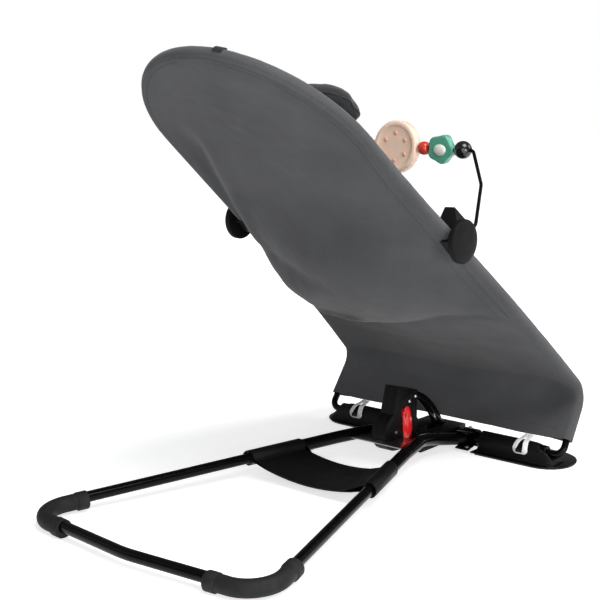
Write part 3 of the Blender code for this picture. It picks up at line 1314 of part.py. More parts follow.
def build_toy_bar():
    left = toy_arm_points(1)
    points = left + mirrored(left[::-1], -1)
    path = rounded_path(points, [0.012, 0.018, 0.008, 0.008, 0.018, 0.012], 4)
    pivot = clip_centre() * np.array([0, 1, 1])
    wire = bar("toy_wire", path, circle(WIRE_RADIUS, 10), (0, -1, 0), pivot)
    paint(wire, "toy_wire_black", (0.01, 0.01, 0.011), 0.3, 0.3)
    for side, name in ((1, "left"), (-1, "right")):
        profile = []
        bore = WIRE_RADIUS + GAP
        for i in range(9):
            angle = pi * (0.07 + 0.86 * i / 8)
            profile.append((max(BALL_RADIUS * sin(angle), bore + 0.4 * MM), -BALL_RADIUS * cos(angle)))
        profile = [(bore, profile[0][1])] + profile + [(bore, profile[-1][1])]
        ball = turned("toy_ball_" + name, profile, (side * BALL_X, TOY_Y, TOY_Z), (1, 0, 0), 18, True, pivot)
        gloss_plastic(ball, (0.010, 0.010, 0.011))
    axis_place = (0, TOY_Y, TOY_Z)
    bore = WIRE_RADIUS + GAP

    def threaded(name, low, high, shape, color, segments=18, origin=None):
        profile = [(bore, low)] + [(r, low + (high - low) * t) for r, t in shape] + [(bore, high)]
        centre = (0, TOY_Y, TOY_Z)
        obj = turned(name, profile, centre, (1, 0, 0), segments, True, origin or centre)
        return gloss_plastic(obj, color)

    round_bead = [(4.5 * MM, 0.03), (7.4 * MM, 0.2), (8.4 * MM, 0.5), (7.4 * MM, 0.8), (4.5 * MM, 0.97)]
    threaded("toy_bead_right", -0.0480, -0.0345, round_bead, (0.62, 0.05, 0.03), 16)
    threaded("toy_bead_left", 0.0345, 0.0480, round_bead, (0.62, 0.05, 0.03), 16)
    build_face_disc()
    for side, name in ((1, "left"), (-1, "right")):
        build_leaf(side, name)


def build_face_disc():
    """A thick round disc whose flat faces look along the bar's tilt, with a raised rim."""
    centre = np.array([0, TOY_Y, TOY_Z])
    normal = unit(np.array([0, 1.0, 0.12]))
    rim = [(0, -5.2 * MM), (0.0255, -5.2 * MM), (0.0270, -6.6 * MM), (0.0305, -6.6 * MM), (0.0325, -4.6 * MM)]
    disc = turned("toy_disc", rim + [(radius, -depth) for radius, depth in rim[::-1]], centre, normal, 32)
    bore = WIRE_RADIUS + GAP
    joined(disc, turned("disc_bore", [(0, -0.05), (bore, -0.05), (bore, 0.05), (0, 0.05)],
                        centre, (1, 0, 0), 12))
    gloss_plastic(disc, (0.85, 0.50, 0.36))


def build_leaf(side, name):
    """A flat wavy-edged leaf threaded on the bar, with an oval let into its face."""
    centre = np.array([0, TOY_Y, TOY_Z])
    middle = side * 0.0672
    outline = []
    for i in range(24):
        angle = 2 * pi * i / 24
        wave = 1 + 0.07 * cos(5 * angle + 0.6)
        outline.append((middle + side * 0.0175 * wave * cos(angle), TOY_Z + 0.0170 * wave * sin(angle)))
    leaf = slab("toy_leaf_" + name, outline, TOY_Y - 5.6 * MM, TOY_Y + 5.6 * MM, "XZ", centre)
    bore = WIRE_RADIUS + GAP
    joined(leaf, turned("leaf_bore_" + name, [(0, -0.12), (bore, -0.12), (bore, 0.12), (0, 0.12)],
                        centre, (1, 0, 0), 12))
    pocket = [(middle + 9.4 * MM * cos(2 * pi * i / 16), TOY_Z - 0.001 + 7.4 * MM * sin(2 * pi * i / 16))
              for i in range(16)]
    joined(leaf, slab(f"leaf_pocket_{name}", pocket, TOY_Y + 3.6 * MM, TOY_Y + 0.01, "XZ"))
    gloss_plastic(leaf, (0.12, 0.42, 0.28))
    verts = []
    count = 16
    for radius, depth in ((1.0, 3.6 * MM + GAP), (1.0, 6.2 * MM), (0.8, 7.6 * MM), (0.45, 8.3 * MM)):
        for i in range(count):
            a = 2 * pi * i / count
            verts.append((middle + 9.1 * MM * radius * cos(a), TOY_Y + depth,
                          TOY_Z - 0.001 + 7.1 * MM * radius * sin(a)))
    faces = ring_faces(0, 4, count) + [tuple(range(count)), tuple(range(3 * count, 4 * count))]
    gloss_plastic(solid("toy_oval_" + name, verts, faces, centre), (0.80, 0.78, 0.72))


def build():
    clear_scene()
    build_rear_tube()
    build_spreader()
    build_cross_plate()
    build_foot_tube()
    build_housing()
    build_lever()
    build_lever_pin_and_spring()
    build_rod()
    build_crank()
    build_sling()
    build_rear_cover()
    build_pillow()
    build_tab()
    build_restraint()
    build_toy_bar()
    for side, name in ((1, "left"), (-1, "right")):
        build_corner_sleeve(side, name)
        build_front_tube(side, name)
        build_snap(side, name)
        build_bush(side, name)
        build_foot_end(side, name)
        build_clamp(side, name)
        build_hub_shell(side, name)
        build_elastic(side, name)
        build_clip(side, name)
        build_cap(side, name)


build()
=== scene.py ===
import json
from math import acos, atan2, cos, hypot, pi, radians, sin, sqrt, tan

import bmesh
import bpy
import numpy as np
from mathutils import Matrix, Vector, noise

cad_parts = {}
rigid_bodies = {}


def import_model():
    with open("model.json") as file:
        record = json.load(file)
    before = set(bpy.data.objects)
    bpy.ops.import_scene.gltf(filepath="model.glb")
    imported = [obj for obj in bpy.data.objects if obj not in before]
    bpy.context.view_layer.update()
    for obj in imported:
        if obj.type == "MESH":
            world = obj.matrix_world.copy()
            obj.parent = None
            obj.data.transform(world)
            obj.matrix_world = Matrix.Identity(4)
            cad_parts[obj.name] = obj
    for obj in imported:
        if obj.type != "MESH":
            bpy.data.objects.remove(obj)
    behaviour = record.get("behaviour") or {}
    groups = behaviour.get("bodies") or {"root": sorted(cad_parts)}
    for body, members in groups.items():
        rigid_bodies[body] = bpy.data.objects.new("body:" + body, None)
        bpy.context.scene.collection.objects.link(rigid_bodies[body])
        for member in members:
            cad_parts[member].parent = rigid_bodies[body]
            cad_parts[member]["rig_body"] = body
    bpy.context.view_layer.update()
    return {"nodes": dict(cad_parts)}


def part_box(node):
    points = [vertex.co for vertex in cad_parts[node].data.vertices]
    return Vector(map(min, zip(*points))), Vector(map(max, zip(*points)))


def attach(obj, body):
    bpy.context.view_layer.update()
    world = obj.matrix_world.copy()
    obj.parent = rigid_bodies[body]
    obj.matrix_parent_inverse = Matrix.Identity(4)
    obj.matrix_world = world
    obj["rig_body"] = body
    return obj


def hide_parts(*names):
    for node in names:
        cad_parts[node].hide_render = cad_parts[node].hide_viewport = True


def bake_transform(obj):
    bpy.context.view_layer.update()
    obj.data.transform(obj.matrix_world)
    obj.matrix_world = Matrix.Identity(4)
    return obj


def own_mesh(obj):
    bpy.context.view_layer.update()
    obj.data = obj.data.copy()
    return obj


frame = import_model()

MM = 0.001
SHIFT = np.array([0.0, -0.2743, 0.0])
SIDES = ((1, "left"), (-1, "right"))
SHARP = 38
SOFT_SHARP = 50

# Sizes shared with the solids
AXLE = np.array([0.0, 0.0160, 0.0165])
REAR_TUBE_RADIUS = 6.5 * MM
TUBE_WALL = 1.2 * MM
FRONT_TUBE_RADIUS = 8.0 * MM
LEG_FRONT = np.array([0.0525, 0.1600, 0.0309])
LEG_CORNER = np.array([0.1803, 0.5650, 0.0130])
CROSSBAR_BOW = 0.0160
CORNER_BEND = 0.036
MIDDLE_BEND = 0.150
SOCKET_Y = 0.2928
SOCKET_MIDDLE_Y = 0.2450
PLUG_Y = 0.1880
FRONT_BENDS = ((0.0455, 0.1350, 0.0308), (0.0385, 0.1120, 0.0300), (0.0357, 0.0870, 0.0262),
               (0.0366, 0.0660, 0.0216), (0.0418, 0.0450, 0.0180), (0.0490, 0.0300, 0.0165))
FRONT_BEND_Y = 0.1700
SNAP_Y = 0.2050
SNAP_HOLE_RADIUS = 2.9 * MM
SNAP_HOLE_DEPTH = 0.012
SLEEVE_RADIUS = 10.8 * MM
SLEEVE_CUFF = 14.0 * MM
SLEEVE_DROP = 2.9 * MM
SLEEVE_REACH = 0.071
COVER_RADIUS = 11.3 * MM
HOOK_Z = 0.0190
HOOK_THICKNESS = 1.8 * MM
ELASTIC_X = 0.1335
ELASTIC_WIDTH = 5.4 * MM
ELASTIC_THICKNESS = 1.2 * MM
ROD_RADIUS = 4.5 * MM
FOOT_CORNER = np.array([0.1870, AXLE[1], AXLE[2]])
KNEE = np.array([0.1843, -0.0347, 0.0894])
KNEE_BEND = 0.028
FOOT_BEND = 0.012
INCLINE = radians(40.43)
SEAT_LENGTH = 0.6611
SPLIT_S = 0.7865 * SEAT_LENGTH
BOW_HALF_WIDTH = 0.1366
BOW_POWER = 2.05
BULGE = 0.0114
CLOTH_THICKNESS = 2.4 * MM
ROLL_RADIUS = ROD_RADIUS + 0.8 * MM + CLOTH_THICKNESS / 2
LOWER_HEM_Z = 0.0340
PILLOW_S = 0.5480
PILLOW_SIZE = (0.2680, 0.0800, 0.0400)
TAB_X = 0.0360
TAB_THICKNESS = 1.6 * MM
CLIP_S = 0.512 * SEAT_LENGTH
CAP_RADIUS = 0.0250
CAP_DEPTH = 10.5 * MM
CAP_BACK = 11.0 * MM
CAP_BORE = 2.9 * MM
CAP_SOCKET = 0.0058
WIRE_RADIUS = 2.1 * MM
WIRE_ELBOW = np.array([0.1400, 0.1400, 0.3660])
WIRE_CORNER_X = 0.1120
WIRE_INSET = 0.0040
WIRE_LEAD = (0.0125, 0.0300)
WIRE_BENDS = (0.012, 0.018, 0.008)
TOY_Y = 0.1150
TOY_Z = 0.4030
BALL_X = 0.0975
BALL_RADIUS = 0.0110
BEAD_X = (0.0345, 0.0480)
BEAD_FORM = (3.6 * MM, 4.5 * MM, 3.9 * MM)
LEAF_X = 0.0672
LEAF_SIZE = (0.0175, 0.0170)
OVAL_SIZE = (9.1 * MM, 7.1 * MM)
STUD_RING = 0.0170
GAP = 0.3 * MM

# The cloth as the photograph shows it
SLING_SHEET = CLOTH_THICKNESS * 0.8
COVER_SHEET = CLOTH_THICKNESS * 0.6
PANEL_EASE = 1.7
TUNNEL = 0.13
TUCK = (0.34, 0.17)
LOWER_DIP = 4 * MM
PIVOT_S = SPLIT_S + 0.30 * (SEAT_LENGTH - SPLIT_S)
COVER_HEM_S = 0.180
COVER_SLACK = 0.007
COVER_SWELL = 0.026
COVER_SWELL_LENGTH = 0.26
COVER_TURN_IN = ((1.7 * MM, 1.7 * MM), (0.9 * MM, 0.5 * MM))
HEM_LINE = ((-1.0, 0.180), (-0.6, 0.213), (-0.2, 0.200), (0.4, 0.166), (0.7, 0.170), (1.0, 0.182))
FOLD_LINE = (0.078, 0.128, 0.535, 0.325)
SLING_WAVE = (1.5 * MM, 26, 3.1)
SLING_RIPPLE = (0.6 * MM, 60, 7.7)
SLING_PULL = (0.45 * MM, 90, 1.3)
COVER_HEM_WAVE = (4.5 * MM, 62, 3.3)
COVER_FAN = (2.0 * MM, 17, 4.0)
COVER_RIPPLE = (0.4 * MM, 70, 5.5)
COVER_LIMP = (1.6 * MM, 34, 8.0)
COVER_LIMP_RIPPLE = (1.1 * MM, 80, 1.0)
PILLOW_CREASE = (1.3 * MM, 42, 6.0)
PILLOW_RIPPLE = (0.5 * MM, 95, 2.0)
FLAP_RIPPLE = (0.5 * MM, 40, 2.2)
PILLOW_DROP = -4.0 * MM
PILLOW_LIFT = 0.12
PILLOW_SHORTER = 0.965
PILLOW_SLIMMER = 0.74
PILLOW_PLUMPER = 1.04
TAB_HALF_WIDTH = 24.0 * MM * 0.22
TAB_ARC = 82
FLAP_START = 0.058
FLAP_LENGTH = 0.245

FLOOR_GLOW = 0.66
SKY = 0.21

SEAT_NORMAL = np.array([0.0, -sin(INCLINE), cos(INCLINE)])
SEAT_UP = np.array([0.0, cos(INCLINE), sin(INCLINE)])


# Helpers

def unit(v):
    return np.asarray(v, float) / np.linalg.norm(v)


LEG_UP = unit((KNEE - AXLE) * [0, 1, 1])


def mirrored(points, side=-1):
    return [np.array([side * p[0], p[1], p[2]]) for p in points]


def smoothstep(value, low, high):
    """0 at low, 1 at high and smooth between; high may be the smaller of the two."""
    t = min(max((value - low) / (high - low), 0.0), 1.0)
    return t * t * (3 - 2 * t)


def soft(x, y, z, scale, seed=0.0):
    """Smooth noise from -1 to 1."""
    return noise.noise(Vector((x * scale + seed, y * scale - seed, z * scale + 2 * seed)))


def uneven(kind, x, y, z=0):
    """Noise of a kind: its size, scale and seed."""
    size, scale, seed = kind
    return size * soft(x, y, z, scale, seed)


def distances(points):
    """How far along a line each of its points lies."""
    run = [0.0]
    for a, b in zip(points, points[1:]):
        run.append(run[-1] + np.linalg.norm(b - a))
    return run


def rounded_path(points, radii, steps=5):
    points = [np.asarray(p, float) for p in points]
    path = [points[0]]
    for before, corner, after, radius in zip(points, points[1:], points[2:], radii):
        back = unit(before - corner)
        onward = unit(after - corner)
        half = 0.5 * acos(float(np.clip(back @ onward, -1, 1)))
        if radius == 0 or half > radians(89.5):
            path.append(corner)
            continue
        reach = radius / tan(half)
        centre = corner + unit(back + onward) * radius / sin(half)
        start = corner + back * reach - centre
        end = corner + onward * reach - centre
        turn = pi - 2 * half
        for i in range(steps + 1):
            share = i / steps
            mix = sin((1 - share) * turn) * start + sin(share * turn) * end
            path.append(centre + mix / sin(turn))
    path.append(points[-1])
    return path


def smooth_path(points, steps):
    points = [np.asarray(p, float) for p in points]
    padded = [2 * points[0] - points[1]] + points + [2 * points[-1] - points[-2]]
    path = []
    for a, b, c, d in zip(padded, padded[1:], padded[2:], padded[3:]):
        for i in range(steps):
            t = i / steps
            path.append(0.5 * (2 * b + (c - a) * t + (2 * a - 5 * b + 4 * c - d) * t * t
                               + (3 * b - a - 3 * c + d) * t ** 3))
    path.append(points[-1])
    return path


def frames_along(path, up):
    """The side and normal directions at each point of a path, turned as little as possible."""
    path = [np.asarray(p, float) for p in path]
    frames = []
    normal = np.asarray(up, float)
    for i, point in enumerate(path):
        before = path[max(i - 1, 0)]
        after = path[min(i + 1, len(path) - 1)]
        if 0 < i < len(path) - 1:
            tangent = unit(unit(point - before) + unit(after - point))
        else:
            tangent = unit(after - before)
        normal = unit(normal - (normal @ tangent) * tangent)
        frames.append((np.cross(tangent, normal), normal))
    return frames


def turns(count, start=0):
    return [2 * pi * (n + start) / count for n in range(count)]


def circle(radius, count, y=0.0):
    return [(radius * cos(a), y + radius * sin(a)) for a in turns(count, 0.5)]


def squarish(angle, power):
    """The radius of a rounded square of half width 1 in a direction."""
    return (abs(cos(angle)) ** power + abs(sin(angle)) ** power) ** (-1 / power)


def ring_faces(start, rings, count, closed=False):
    faces = []
    for i in range(rings if closed else rings - 1):
        for j in range(count):
            a = start + i * count
            b = start + ((i + 1) % rings) * count
            k = (j + 1) % count
            faces.append((a + j, a + k, b + k, b + j))
    return faces


def end_faces(start, total, count):
    """The two faces that close a row of rings."""
    return [tuple(range(start, start + count)), tuple(range(start + total - count, start + total))]


def placed(name, data):
    obj = bpy.data.objects.new(name, data)
    bpy.context.scene.collection.objects.link(obj)
    return obj


def cleaned(mesh, merge=0.0, dissolve=0.0):
    """Merges close points, joins nearly flat faces (degrees) and turns all faces outward."""
    shape = bmesh.new()
    shape.from_mesh(mesh)
    if merge:
        bmesh.ops.remove_doubles(shape, verts=shape.verts, dist=merge)
    if dissolve:
        bmesh.ops.dissolve_limit(shape, angle_limit=radians(dissolve), verts=shape.verts, edges=shape.edges)
    bmesh.ops.recalc_face_normals(shape, faces=shape.faces)
    shape.to_mesh(mesh)
    shape.free()


def new_piece(name, verts, faces, sharp=SHARP, uv=None, merge=1e-7):
    """A mesh in the row frame from points measured from the foot."""
    mesh = bpy.data.meshes.new(name)
    mesh.from_pydata([tuple(np.asarray(v, float) + SHIFT) for v in verts], [], faces)
    if uv is not None:
        layer = mesh.uv_layers.new(name="weave")
        index = np.zeros(len(mesh.loops), np.int32)
        mesh.loops.foreach_get("vertex_index", index)
        layer.data.foreach_set("uv", np.asarray(uv, np.float32)[index].ravel())
    cleaned(mesh, merge)
    mesh.shade_smooth()
    if sharp:
        mesh.set_sharp_from_angle(angle=radians(sharp))
    return placed(name, mesh)


def trim(obj, material, body):
    obj.data.materials.append(material)
    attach(obj, body)


def dress(obj, material, node):
    """Gives a piece its look and the body of the solid that it replaces, and hides that solid."""
    obj.data.materials.clear()
    trim(obj, material, frame["nodes"][node]["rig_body"])
    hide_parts(node)
    return obj


def swept(path, outlines, up):
    """The points of all outlines, each set across the path at its point."""
    verts = []
    for point, (side, normal), outline in zip(path, frames_along(path, up), outlines):
        verts += [point + a * side + b * normal for a, b in outline]
    return verts


def bar(name, path, outline, up, uv=None):
    count = len(outline)
    verts = swept(path, [outline] * len(path), up)
    faces = ring_faces(0, len(path), count) + end_faces(0, len(verts), count)
    return new_piece(name, verts, faces, uv=uv, merge=1e-7 if uv is None else 0.0)


def pipe(name, path, outlines, bore, floor=None):
    """A tube along a path, with an outline for each point and the same bore all along."""
    up = (0, 0, 1)
    outer = swept(path, outlines, up)
    if floor is not None:
        for p in outer:
            p[2] = max(p[2], floor)
    count = len(bore)
    total = len(outer)
    faces = ring_faces(0, len(path), count) + ring_faces(total, len(path), count)
    for end in (0, total - count):
        for j in range(count):
            k = (j + 1) % count
            faces.append((end + j, end + k, total + end + k, total + end + j))
    return new_piece(name, outer + swept(path, [bore] * len(path), up), faces)


def lathed(name, profile, place, count, closed=False, sharp=SHARP):
    """Rings from a profile of radius and depth; place(radius, depth, j) gives point j of a ring."""
    verts = []
    rows = []
    for radius, depth in profile:
        single = radius == 0
        rows.append([len(verts)] * count if single else [len(verts) + j for j in range(count)])
        verts += [place(radius, depth, j) for j in range(1 if single else count)]
    faces = []
    for low, high in list(zip(rows, rows[1:])) + ([(rows[-1], rows[0])] if closed else []):
        for j in range(count):
            k = (j + 1) % count
            corners = tuple(dict.fromkeys((low[j], low[k], high[k], high[j])))
            if len(corners) > 2:
                faces.append(corners)
    return new_piece(name, verts, faces, sharp)


def turned(name, profile, centre, axis, segments=48, closed=False):
    axis = unit(axis)
    side = unit(np.cross(axis, (0, 0, 1) if abs(axis[2]) < 0.9 else (0, 1, 0)))
    other = np.cross(axis, side)
    centre = np.asarray(centre, float)
    angles = turns(segments, 0.5)

    def place(radius, along, j):
        return centre + along * axis + radius * (cos(angles[j]) * side + sin(angles[j]) * other)

    return lathed(name, profile, place, segments, closed)


def settle(obj):
    """Applies the modifiers of a piece."""
    bpy.context.view_layer.update()
    graph = bpy.context.evaluated_depsgraph_get()
    mesh = bpy.data.meshes.new_from_object(obj.evaluated_get(graph))
    obj.modifiers.clear()
    obj.data = mesh


def modified(obj, name, kind, **values):
    """Adds a modifier with the given values."""
    modifier = obj.modifiers.new(name, kind)
    for key, value in values.items():
        setattr(modifier, key, value)
    return modifier


def refined(node, material, bevel=0.45 * MM, angle=32):
    """A copy of a solid's shape with small rounded edges and smooth curved faces."""
    mesh = frame["nodes"][node].data.copy()
    cleaned(mesh, 2e-6, 1.5)
    obj = placed(node + "_dressed", mesh)
    if bevel:
        modified(obj, "edges", "BEVEL", width=bevel, segments=2, limit_method="ANGLE",
                 angle_limit=radians(angle), use_clamp_overlap=True)
        settle(obj)
    obj.data.shade_smooth()
    obj.data.set_sharp_from_angle(angle=radians(angle + 6))
    return dress(obj, material, node)


# Materials

def add_node(tree, kind, inputs=None, **settings):
    """A new node; each of its inputs is given a value or linked to another node's output."""
    made = tree.nodes.new(kind)
    for key, value in settings.items():
        setattr(made, key, value)
    for name, value in (inputs or {}).items():
        socket = made.inputs[name]
        if isinstance(value, bpy.types.NodeSocket):
            tree.links.new(value, socket)
        else:
            socket.default_value = (*value, 1) if socket.type == "RGBA" else value
    return made


class Looks:
    """A Principled material with a small set of procedural layers."""

    def __init__(self, name, color, roughness, metallic=0.0, sheen=0.0, coat=0.0, specular=0.5):
        self.material = bpy.data.materials.new(name)
        self.material.use_nodes = True
        self.tree = self.material.node_tree
        self.shader = self.tree.nodes["Principled BSDF"]
        for socket, value in (("Base Color", (*color, 1)), ("Roughness", roughness), ("Metallic", metallic),
                              ("Sheen Weight", sheen), ("Sheen Roughness", 0.45), ("Coat Weight", coat),
                              ("Coat Roughness", 0.12), ("Specular IOR Level", specular)):
            self.shader.inputs[socket].default_value = value
        self.place = self.node("ShaderNodeTexCoord").outputs["Object"]

    def node(self, kind, inputs=None, **settings):
        return add_node(self.tree, kind, inputs, **settings)

    def feed(self, socket, output):
        self.tree.links.new(output, self.shader.inputs[socket])

    def noise(self, scale, detail=3, rough=0.5, place=None, stretch=None):
        source = place or self.place
        if stretch:
            source = self.node("ShaderNodeMapping", {"Vector": source, "Scale": stretch}).outputs["Vector"]
        values = {"Vector": source, "Scale": scale, "Detail": detail, "Roughness": rough}
        return self.node("ShaderNodeTexNoise", values).outputs["Fac"]

    def ramp(self, value, low, high, at=(0.3, 0.7)):
        made = self.node("ShaderNodeValToRGB", {"Fac": value})
        for element, place, tone in zip(made.color_ramp.elements, at, (low, high)):
            element.position = place
            element.color = (*tone, 1) if hasattr(tone, "__len__") else (tone, tone, tone, 1)
        return made.outputs["Color"]

    def math(self, kind, *values):
        return self.node("ShaderNodeMath", dict(enumerate(values)), operation=kind).outputs[0]

    def blend(self, share, a, b):
        return self.node("ShaderNodeMix", {0: share, 6: a, 7: b}, data_type="RGBA").outputs[2]

    def bump(self, height, depth, strength):
        values = {"Height": height, "Distance": depth * MM, "Strength": strength}
        self.feed("Normal", self.node("ShaderNodeBump", values).outputs["Normal"])


def toned(color, factor, more=0.0):
    return [min(c * factor + more, 1) for c in color]


def hard_look(name, color, roughness, wear, tint, grain, **values):
    """A hard surface: wear changes its gloss, tint its colour, and grain gives it a fine relief."""
    look = Looks(name, color, roughness, **values)
    pattern, low, high, *at = wear
    look.feed("Roughness", look.ramp(look.noise(*pattern), low, high, *at))
    pattern, at, first, second = tint
    look.feed("Base Color", look.blend(look.ramp(look.noise(*pattern), 0, 1, at), first, second))
    scale, depth, strength = grain
    look.bump(look.noise(scale, 2), depth, strength)
    return look.material


def enamel(name, color, coat=0.05):
    """Gloss stove enamel on steel: faint orange peel, dust and worn spots."""
    return hard_look(name, color, 0.24, ((95, 5, 0.65), 0.15, 0.30, (0.42, 0.72)),
                     ((420, 2), (0.56, 0.80), color, toned(color, 1, 0.003)), (260, 0.05, 0.35),
                     coat=coat, specular=0.10)


def moulded(name, color, roughness, specular):
    """Moulded plastic with a spark-eroded grain and slightly rubbed areas."""
    return hard_look(name, color, roughness, ((38, 4, 0.6), roughness - 0.10, roughness + 0.08),
                     ((700, 2), (0.35, 0.75), toned(color, 0.82), toned(color, 1.25, 0.001)),
                     (1500, 0.06, 0.5), specular=specular)


def rubbery(name, color):
    return hard_look(name, color, 0.72, ((50, 4), 0.62, 0.82),
                     ((160, 3), (0.4, 0.8), color, toned(color, 1.5, 0.0015)), (900, 0.08, 0.5),
                     specular=0.35)


def toy_paint(name, color, roughness):
    return hard_look(name, color, roughness, ((70, 3), roughness - 0.07, roughness + 0.09),
                     ((45, 4), (0.35, 0.75), toned(color, 0.93), toned(color, 1.05)), (330, 0.03, 0.4),
                     coat=0.25)


def bright_metal(name, color):
    """Zinc plated steel with fine drawn lines."""
    look = Looks(name, color, 0.28, metallic=1.0)
    lines = look.noise(60, 4, 0.6, stretch=(1, 18, 18))
    look.feed("Roughness", look.ramp(lines, 0.20, 0.42))
    look.feed("Base Color", look.ramp(look.noise(140, 3), toned(color, 0.82), color))
    look.bump(lines, 0.03, 0.3)
    return look.material


def woven(name, color, pitch=0.9 * MM, sheen=0.35, heather=0.22, uv="weave"):
    """Woven or knitted cloth: yarns across and along, heathered colour and lighter slub yarns."""
    look = Looks(name, color, 0.92, sheen=sheen, specular=0.15)
    place = look.node("ShaderNodeUVMap", uv_map=uv).outputs["UV"] if uv else look.place
    parts = look.node("ShaderNodeSeparateXYZ", {0: place}).outputs
    warp, weft = [look.math("SINE", look.math("MULTIPLY", part, 2 * pi / pitch))
                  for part in (parts[0], parts[1] if uv else parts[2])]
    yarn = look.math("MULTIPLY", warp, weft)
    slub = look.noise(240, 3, 0.6, place, (1, 6, 1))
    mottle = look.noise(9, 4, 0.55)
    fleck = look.noise(1300, 2, 0.6)
    shade = look.math("ADD", look.math("MULTIPLY", mottle, 0.5), look.math("MULTIPLY", fleck, 0.5))
    base = look.ramp(shade, toned(color, 1 - heather), toned(color, 1 + heather), (0.38, 0.62))
    look.feed("Base Color", look.blend(look.ramp(slub, 0.0, 0.5, (0.5, 0.75)), base, toned(color, 1.35)))
    height = look.math("ADD", look.math("MULTIPLY", yarn, 0.5), look.math("MULTIPLY", fleck, 0.8))
    look.bump(height, 0.10, 0.55)
    return look.material


ENAMEL = enamel("black_enamel", (0.0016, 0.0016, 0.0018))
ROD_ENAMEL = enamel("rod_enamel", (0.0016, 0.0016, 0.0018))
WIRE_ENAMEL = enamel("wire_enamel", (0.003, 0.003, 0.0033), 0.02)
ZINC = bright_metal("zinc_steel", (0.60, 0.61, 0.62))
PLATE_METAL = bright_metal("plate_steel", (0.42, 0.42, 0.43))
CHARCOAL = moulded("charcoal_plastic", (0.0035, 0.0035, 0.0038), 0.50, 0.16)
CAP_CHARCOAL = moulded("cap_plastic", (0.005, 0.005, 0.0053), 0.60, 0.12)
SLEEVE = rubbery("grey_rubber", (0.007, 0.007, 0.0073))
RED = toy_paint("lever_red", (0.95, 0.022, 0.024), 0.20)
SEAT_CLOTH = woven("seat_cloth", (0.078, 0.079, 0.083), sheen=0.22)
REAR_CLOTH = woven("rear_cloth", (0.076, 0.077, 0.081), sheen=0.22)
PILLOW_CLOTH = woven("pillow_cloth", (0.026, 0.027, 0.029), 0.7 * MM, 0.3, 0.25, None)
TAPE = woven("tape", (0.018, 0.018, 0.019), 1.1 * MM, 0.2)
ELASTIC = woven("elastic", (0.95, 0.95, 0.94), 1.0 * MM, 0.1, 0.06)
PEACH = toy_paint("toy_peach", (0.98, 0.70, 0.54), 0.36)
PEACH_DARK = toy_paint("toy_peach_band", (0.84, 0.42, 0.29), 0.36)
GREEN = toy_paint("toy_green", (0.10, 0.40, 0.27), 0.34)
WHITE = toy_paint("toy_white", (0.78, 0.76, 0.70), 0.30)
TOY_RED = toy_paint("toy_red", (0.60, 0.045, 0.025), 0.24)
TOY_BLACK = toy_paint("toy_black", (0.008, 0.008, 0.009), 0.12)
THREAD = woven("thread", (0.060, 0.061, 0.064), 0.5 * MM, 0.1, 0.1, None)


# The seat's shape; s runs up along the seat from the knee bends to the head

def half_width(s):
    s = min(max(s, 0.0), SEAT_LENGTH)
    if s < SPLIT_S:
        width = KNEE[0] + (BOW_HALF_WIDTH - KNEE[0]) * sin(pi / 2 * s / SPLIT_S)
    else:
        share = (s - SPLIT_S) / (SEAT_LENGTH - SPLIT_S)
        width = BOW_HALF_WIDTH * sqrt(max(1 - share ** BOW_POWER, 0.0))
    return width + BULGE * sin(pi * s / SEAT_LENGTH) * min(width / 0.1, 1.0)


def seat_point(x, s, offset=0.0):
    share = s / SEAT_LENGTH
    rise = offset + 0.0026 * sin(pi * share) + 0.0025 * sin(2 * pi * share)
    return np.array([x, KNEE[1] + s * cos(INCLINE) - rise * sin(INCLINE),
                     KNEE[2] + s * sin(INCLINE) + rise * cos(INCLINE)])


def rail_point(s, side=1):
    return seat_point(side * half_width(s), s)


def middle_s(s):
    """The place on the seat's middle line that belongs to a place on the rail; it stops short of the head."""
    return s if s < SPLIT_S else SPLIT_S + (PIVOT_S - SPLIT_S) * (s - SPLIT_S) / (SEAT_LENGTH - SPLIT_S)


def seat_sag(s):
    return 0.003 + 0.029 * sin(pi * min(s / SEAT_LENGTH / 0.86, 1.0)) ** 2


def sling_lift(x, s):
    """How far the sling lies above the seat's plane, less the sag."""
    ease = 1 - min(abs(x) / half_width(s), 1.0) ** PANEL_EASE
    return ROLL_RADIUS - (ROLL_RADIUS + seat_sag(s)) * ease


def cover_depth(s):
    share = min(max((s - COVER_HEM_S) / COVER_SWELL_LENGTH, 0.0), 1.0)
    swell = sin(pi * share) ** (0.75 + 1.45 * smoothstep(share, 0.45, 0.85))
    return seat_sag(s) + COVER_SLACK + COVER_SWELL * swell


def bow_stations(steps):
    return [SPLIT_S + (SEAT_LENGTH - SPLIT_S) * sin(pi / 2 * i / steps) for i in range(1, steps + 1)]


def rail_stations(straight, bowed):
    return [SPLIT_S * (0.11 + 0.89 * i / straight) for i in range(1, straight + 1)] + bow_stations(bowed)


def knee_points(steps):
    leg_low = FOOT_CORNER + [0, -0.0026, 0.0035]
    return rounded_path([leg_low, KNEE, rail_point(0.05)], [KNEE_BEND], steps)[1:-1]


def leg_point(y):
    share = (y - LEG_FRONT[1]) / (LEG_CORNER[1] - LEG_FRONT[1])
    return LEG_FRONT + share * (LEG_CORNER - LEG_FRONT)


# Frame tubes

def drilled(tube, side):
    """Cuts the snap button's hole through the tube's lower wall."""
    x, y, z = leg_point(SNAP_Y)
    profile = [(0, -SNAP_HOLE_DEPTH), (SNAP_HOLE_RADIUS, -SNAP_HOLE_DEPTH), (SNAP_HOLE_RADIUS, 0), (0, 0)]
    tool = turned("hole", profile, (side * x, y, z), (0, 0, 1), 24)
    modified(tube, "cut", "BOOLEAN", operation="DIFFERENCE", solver="EXACT", object=tool)
    settle(tube)
    bpy.data.objects.remove(tool)
    tube.data.set_sharp_from_angle(angle=radians(SHARP))


